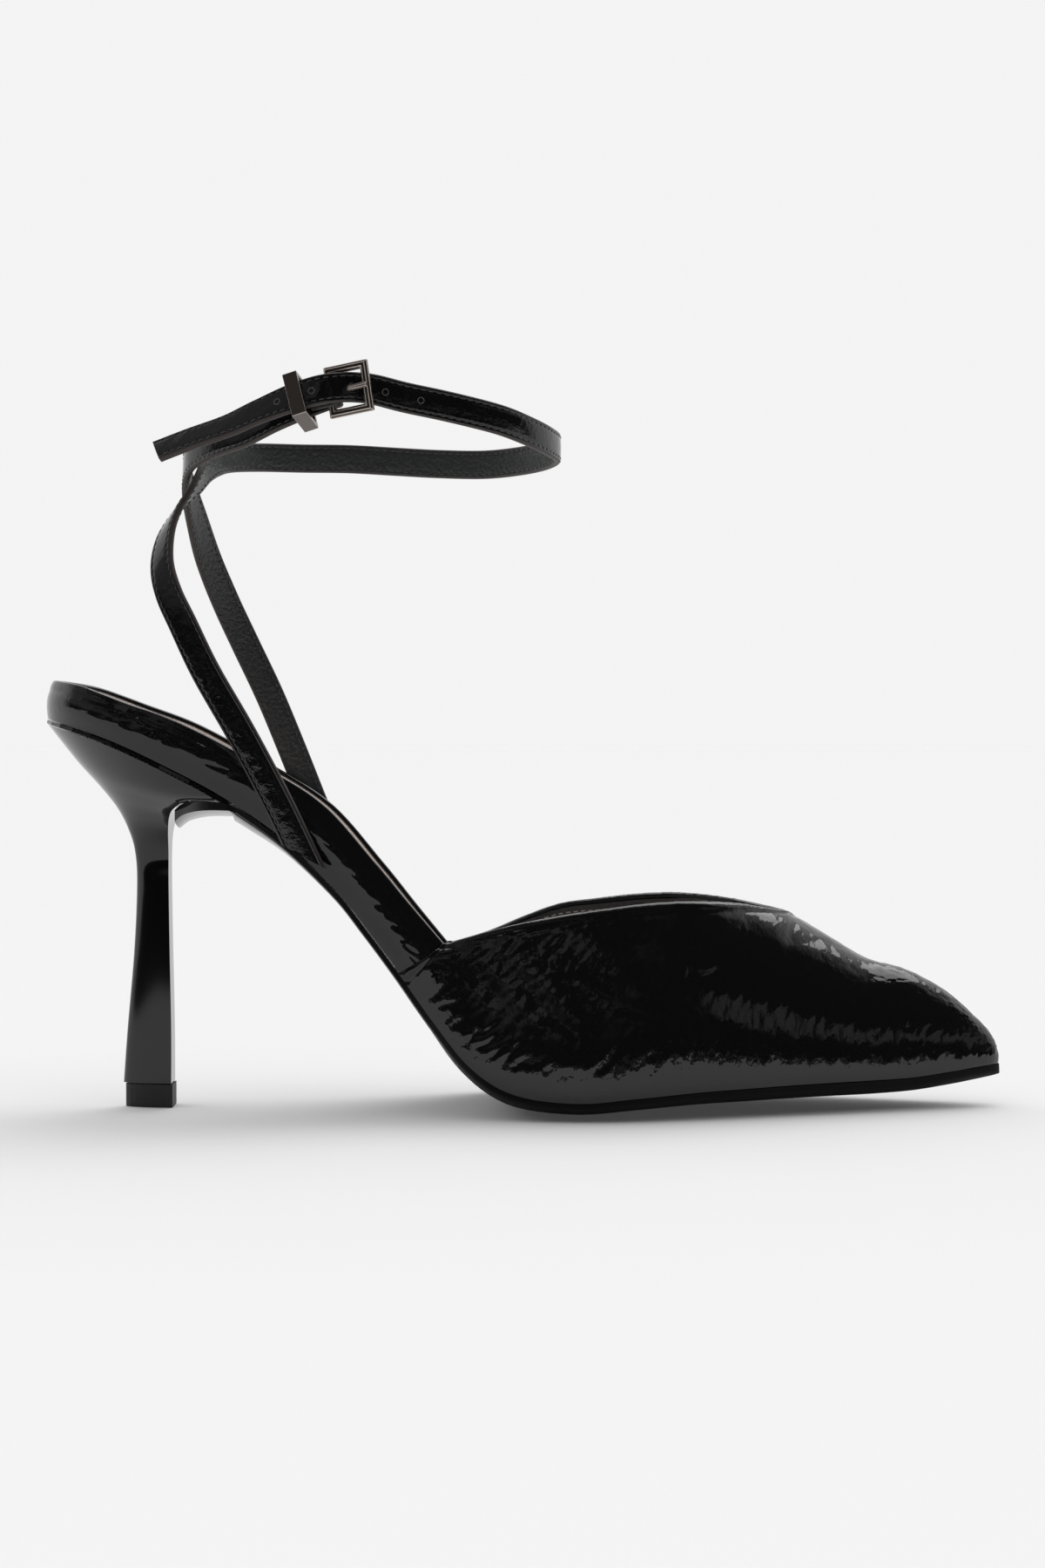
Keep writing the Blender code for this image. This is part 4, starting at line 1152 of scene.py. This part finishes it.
def loop_rest():
    """The short strap's thinned end round the hinge bar: place, outward, across."""
    radius = BUCKLE_THICKNESS / 2 + 2 * GAP + LOOP_THICKNESS / 2
    axes = buckle_axes()
    route = [(-LOOP_END / 3, radius, 0)]
    for k in range(LOOP_STEPS + 1):
        angle = LOOP_ANGLES[0] + (LOOP_ANGLES[1] - LOOP_ANGLES[0]) * k / LOOP_STEPS
        a = math.radians(angle)
        route.append((radius * math.cos(a), radius * math.sin(a), angle - 90))
    route.append((-LOOP_END / 6, -radius, -180))
    route.append((-LOOP_END, GAP / 2 - radius, -180))
    sections = []
    for x, y, turn in route:
        a = math.radians(turn)
        out = axes.to_3x3() @ Vector((math.sin(a), -math.cos(a), 0))
        across = axes.to_3x3() @ Vector((0, 0, -1))
        sections.append((axes @ Vector((x, y, 0)), out.normalized(), across))
    return sections


# Sole, sock and heel. ACROSS: places over the width, closer together near the edges
ACROSS = [-math.cos(math.pi * k / SOLE_ACROSS) for k in range(SOLE_ACROSS + 1)]
# Fill over the flap's end at the heel's front face
FLAP_FILL = 0.0013
FLAP_PARTS = 4
# Rounding of the outsole's edge: share of the half width where it begins, share of the height
EDGE_ROUND = (0.975, 0.22)
# Gap between the sock's edge and the lining
SOCK_GAP = 0.00015
# Rows by which the heel's top ring stands ahead of the heel's back
HEEL_TOP_START = 0.12


def slab(name, rows, left_right, top, bottom, skin, node, start=()):
    """Layer between two heights over the feather line, which stays above the floor."""
    columns = list(start)
    for s in rows:
        left, right = left_right(s)
        up = edge_up(s)
        section = []
        for v in ACROSS:
            section.append(left.lerp(right, (v + 1) / 2) + up * top(s, v))
        for v in reversed(ACROSS):
            low = left.lerp(right, (v + 1) / 2) + up * bottom(s, v)
            low.z = max(low.z, 0.0)
            section.append(low)
        columns.append(section)
    points = [p for section in columns for p in section]
    faces = lattice(columns, False, True) + end_caps(len(columns[0]), len(points))
    piece(name, points, faces, (skin,), None, node, 40)


def fine_rows(first, last, per_row):
    count = int(math.ceil((last - first) * per_row))
    return [first + (last - first) * k / count for k in range(count + 1)]


def outsole_dressed():
    begin = edge_point(FLAP_ROW, -1)
    depth = FLAP_CROWN * OUTSOLE_CROWN
    flap = []
    for k in range(FLAP_PARTS * (len(FLAP) - 1), -1, -1):
        t = k / FLAP_PARTS
        back, drop, half = through(FLAP, t)
        x = begin.x - back * HEEL_RISE
        z = begin.z - GAP - drop * HEEL_RISE
        top = z - 0.25 * OUTSOLE_EDGE + FLAP_FILL * ease(t, 0.0, 1.0)
        section = [Vector((x, v * half * BALL_WIDTH, top)) for v in ACROSS]
        for v in reversed(ACROSS):
            low = z - 1.25 * OUTSOLE_EDGE - depth * (1 - v * v)
            section.append(Vector((x, v * half * BALL_WIDTH, low)))
        flap.append(section)

    def sides(s):
        reach = OUTSOLE_TOE_EXTENSION * max(0.0, min(1.0, (s - 12) / 6))
        return inset_edges(s, -reach)

    def bottom(s, v):
        edge = OUTSOLE_EDGE * (1 - EDGE_ROUND[1] * ease(abs(v), EDGE_ROUND[0], 1.0))
        return -GAP - edge - outsole_crown(s) * (1 - abs(v) ** 3)

    rows = fine_rows(FLAP_ROW, TIP_ROW - 0.12, SOLE_ROW_STEPS)
    slab("outsole_shell", rows, sides, lambda s, v: -GAP - last_crown(s) * (1 - v * v), bottom,
         SOLE_BLACK, "outsole", flap)


def sock_dressed(columns, inner):
    """Sock that reaches the lining on both sides."""
    low = INSOLE_THICKNESS + GAP
    walls = {(column.s, column.side): places for column, places in zip(columns, inner)}
    keys = sorted(s for s, side in walls if SOCK_ROWS[0] <= s <= SOCK_ROWS[1] and side > 0)[::2]

    def sides(s):
        found = []
        for side in (-1, 1):
            foot = edge_point(s, side)
            up = edge_up(s)
            places = walls[(s, side)]
            spot = places[0]
            for a, b in zip(places, places[1:]):
                rise = (b - foot).dot(up)
                if rise >= low:
                    below = (a - foot).dot(up)
                    spot = a.lerp(b, (low - below) / max(rise - below, 1e-9))
                    break
            spot = spot - up * (spot - foot).dot(up)
            found.append(spot - edge_outward(s, side) * SOCK_GAP)
        return found

    def top(s, v):
        return low + SOCK_THICKNESS - last_crown(s) * (1 - v * v)

    slab("sock_skin", keys, sides, top, lambda s, v: top(s, v) - SOCK_THICKNESS,
         PALE, "sock")


def heel_ring(row, seat):
    level = dict(zip(HEEL_COLUMNS, row))
    back_x = BREAST - level["back"] * TOP_LIFT_LENGTH
    front_x = BREAST - level["front"] * TOP_LIFT_LENGTH
    foot = TOP_LIFT_HEIGHT + GAP
    back_z = foot + level["back_up"] * (HEEL_RISE - foot)
    front_z = foot + level["front_up"] * (HEEL_RISE - foot)
    half = level["half"] * HEEL_STEM_WIDTH
    lateral = []
    medial = []
    for k in range(HEEL_AROUND + 1):
        if seat:
            s = HEEL_SEAT_ROW * (1 - k / HEEL_AROUND) + HEEL_TOP_START
            left, right = inset_edges(s, GAP)
            drop = edge_up(s) * (RAND_THICKNESS + 2 * GAP)
            lateral.append(left - drop)
            medial.append(right - drop)
            continue
        turn = loop_turn(k / HEEL_AROUND)
        share = 1 - math.cos(turn)
        x = back_x + (front_x - back_x) * share
        z = back_z + (front_z - back_z) * share
        y = half * math.sin(turn)
        lateral.append(Vector((x, -y, z)))
        medial.append(Vector((x, y, z)))
    return lateral + list(reversed(medial))


def heel_dressed():
    rings = [heel_ring(row, False) for row in HEEL] + [heel_ring(HEEL[-1], True)]
    flat = [[c for p in ring for c in p] for ring in rings]
    columns = []
    for k in range(HEEL_LEVELS + 1):
        values = through(flat, (len(flat) - 1) * k / HEEL_LEVELS)
        columns.append([Vector(values[n:n + 3]) for n in range(0, len(values), 3)])
    points = [p for section in columns for p in section]
    faces = lattice(columns, False, True) + end_caps(len(columns[0]), len(points))
    piece("heel_cover", points, faces, (GLOSS,), None, "heel", 50)


def topline_stitches(columns, inner):
    """Row of stitches in the lining below the vamp's topline."""
    points = []
    faces = []
    for side in (-1, 1):
        path = []
        for column, places in zip(columns, inner):
            if column.side != side or not VERTEX_ROW + 0.3 < column.s < THROAT_ROW - 0.2:
                continue
            top, below = places[-1], places[-2]
            down = (below - top).normalized()
            path.append((column.s, top + down * TOPLINE_SEAM))
        path.sort(key=lambda item: item[0])
        run = 0.0
        want = 0.0
        for (_, a), (_, b) in zip(path, path[1:]):
            reach = (b - a).length
            while want <= run + reach:
                spot = a.lerp(b, (want - run) / reach)
                thread_shape(points, faces, spot, (b - a).normalized(),
                             Vector((0, -side, 0.2)).normalized(), TOPLINE_STITCH)
                want += STITCH_SPACING * MM
            run += reach
    piece("topline_thread", points, faces, (LIGHT_THREAD,))


# Pale bevelled edges of the metal, a painted highlight along the edges: width, steps, least angle
# in degrees
PAINTED_HIGHLIGHT_EDGE = (0.00014, 2, 28)


def metal_parts():
    for name in ("buckle_frame", "keeper", "buckle_prong"):
        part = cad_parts[name]
        part.data.materials.clear()
        part.data.materials.append(METAL)
        part.data.materials.append(PAINTED_EDGE_HIGHLIGHT_METAL)
        weld = part.modifiers.new("joined", "WELD")
        weld.merge_threshold = SAME_PLACE
        # Pale bevel along the sharp edges of the metal: painted highlight
        wear_and_edge_highlight = part.modifiers.new("painted_highlight_edges", "BEVEL")
        wear_and_edge_highlight.width, wear_and_edge_highlight.segments = PAINTED_HIGHLIGHT_EDGE[:2]
        wear_and_edge_highlight.material = 1
        wear_and_edge_highlight.limit_method = "ANGLE"
        wear_and_edge_highlight.angle_limit = math.radians(PAINTED_HIGHLIGHT_EDGE[2])


def plain_parts():
    for name, skin in (("seat_rand", GLOSS), ("top_lift", RUBBER), ("insole", EDGE_PAINT)):
        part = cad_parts[name]
        part.data.materials.clear()
        part.data.materials.append(skin)


# Studio
CAMERA_PLACE = (-0.0007, -0.8, 0.0916)
CAMERA_AIM = (-0.0007, 0.0, 0.0770)
CAMERA_LENS = 76.8
# Very wide lamps that light the paper evenly: direction toward the lamp, strength, spread in
# degrees, whether it also shows in reflections
LAMPS = (
    ("room", (0.25, 0.55, 1.0), 1.05, 46, True),
    ("ceiling", (0.0, 0.20, 1.0), 2.1, 140, False),
)
# Greys of the pale room and of the dark one
BACKDROP = 0.90
DARK_FRONT = 0.016
# Shares of a direction's axis where a part of the room begins and where it is full
ROOM_BACK = ("Y", 0.05, 0.35)
ROOM_LOW = ("Z", 0.90, 0.50)
ROOM_UNDER = ("Z", 0.02, -0.02)
ROOM_HIGH = ("Z", 0.10, 0.40)
# Faint light from the sides above: first and last share of X, strength
SIDE_GLOWS = ((-0.20, -0.60, 0.25), (0.85, 0.97, 0.30))
# Dim things in the dark room: size, first and last step of the noise, strength
ROOM_CLOUD = (5.5, 0.50, 0.60, 0.32)
CLOUD_SIDE = ("X", 0.60, -0.25)
# Low lamp ahead of the toe
LOW_LAMP = (("Z", 0.20, 0.24), ("Z", 0.36, 0.32), ("X", 0.66, 0.78))
LOW_LAMP_GLOW = 0.30
# Floor: half size and level; front edge, where the pale paper ends toward the dark room;
# own light: distance behind the shoe, strength
FLOOR_REACH = 12.0
FLOOR_LEVEL = -0.0001
PAPER_END = (-0.52, -0.46)
PAPER_NEAR = (-0.1, 0.05)
PAPER_FAR = (1.0, 0.04)
PAPER_WHITE = 0.715


def set_camera():
    data = bpy.data.cameras.new("camera")
    data.sensor_fit = "VERTICAL"
    data.sensor_height = 36
    data.lens = CAMERA_LENS
    data.clip_start = 0.01
    camera = placed("camera", data)
    camera.location = CAMERA_PLACE
    look_along = Vector(CAMERA_AIM) - Vector(CAMERA_PLACE)
    camera.rotation_euler = look_along.to_track_quat("-Z", "Y").to_euler()
    bpy.context.scene.camera = camera


def set_lamps():
    for name, toward, strength, spread, glossy in LAMPS:
        data = bpy.data.lights.new(name, "SUN")
        data.energy = strength
        data.angle = math.radians(spread)
        lamp = placed(name, data)
        lamp.rotation_euler = Vector(toward).to_track_quat("Z", "Y").to_euler()
        lamp.visible_glossy = glossy


def set_world():
    """Pale room behind and below, dark room in front and above."""
    world = bpy.data.worlds.new("studio")
    bpy.context.scene.world = world
    world.use_nodes = True
    tree = world.node_tree
    place, axes = coordinates(tree, "Generated")

    def span(axis, low, high):
        return between(tree, axes[axis], low, high)

    def product(first, *others):
        for value in others:
            first = combine(tree, "MULTIPLY", first, value)
        return first

    high = span(*ROOM_HIGH)
    size, low, full, glow = ROOM_CLOUD
    cloud = tree.nodes.new("ShaderNodeTexNoise")
    cloud.inputs["Scale"].default_value = size
    cloud.inputs["Detail"].default_value = 1.0
    tree.links.new(place, cloud.inputs["Vector"])
    shape = between(tree, cloud.outputs["Fac"], low, full)
    pale = product(span(*ROOM_BACK), span(*ROOM_LOW))
    others = [span(*ROOM_UNDER), product(shape, span(*CLOUD_SIDE), high, glow)]
    others += [product(span("X", first, last), high, glow) for first, last, glow in SIDE_GLOWS]
    others.append(product(*[span(*limits) for limits in LOW_LAMP], LOW_LAMP_GLOW))
    for light in others:
        pale = combine(tree, "MAXIMUM", pale, light)
    mix = tree.nodes.new("ShaderNodeMix")
    mix.data_type = "RGBA"
    mix.inputs["A"].default_value = (DARK_FRONT, DARK_FRONT, DARK_FRONT, 1)
    mix.inputs["B"].default_value = (BACKDROP, BACKDROP, BACKDROP, 1)
    tree.links.new(pale, mix.inputs["Factor"])
    tree.links.new(mix.outputs["Result"], tree.nodes["Background"].inputs["Color"])


def set_floor():
    """Wide sheet of paper that ends in front and gives a little light of its own."""
    data = bpy.data.meshes.new("floor")
    ends = ((-1, -1), (1, -1), (1, 1), (-1, 1))
    corners = [(x * FLOOR_REACH, y * FLOOR_REACH, FLOOR_LEVEL) for x, y in ends]
    data.from_pydata(corners, [], [(0, 1, 2, 3)])
    floor = placed("floor", data)
    paper = look("paper", (1, 1, 1), 0.9, 0.0, 0.0)
    tree = paper.node_tree
    shader = tree.nodes["Principled BSDF"]
    shader.inputs["Emission Color"].default_value = (1, 1, 1, 1)
    behind = coordinates(tree, "Object")[1]["Y"]
    (near, near_glow), (far, far_glow) = PAPER_NEAR, PAPER_FAR
    glow = between(tree, behind, near, far, near_glow, far_glow, "LINEAR")
    glow = combine(tree, "MULTIPLY", between(tree, behind, *PAPER_END), glow)
    tree.links.new(glow, shader.inputs["Emission Strength"])
    white = between(tree, behind, *PAPER_END, 0.0, PAPER_WHITE)
    tree.links.new(white, shader.inputs["Base Color"])
    data.materials.append(paper)


def main():
    columns, inner = upper_dressed()
    long_shell, long_run = strap_shell("long_strap_shell", "long_strap", LONG_STRAP,
                                       -STEEPER_END * RISER_LEAN, TIP_LEAN)
    _, short_run = strap_shell("short_strap_shell", "short_strap", SHORT_STRAP,
                               RISER_LEAN, 0.0, loop_rest())
    strap_stitches("long_strap_thread", LONG_STRAP, long_run, TIP_FREE)
    strap_stitches("short_strap_thread", SHORT_STRAP, short_run, LOOP_FREE)
    punch_holes(long_shell)
    outsole_dressed()
    sock_dressed(columns, inner)
    heel_dressed()
    topline_stitches(columns, inner)
    metal_parts()
    plain_parts()
    set_camera()
    set_world()
    set_floor()
    set_lamps()
    bpy.context.scene.view_settings.view_transform = "Standard"


main()
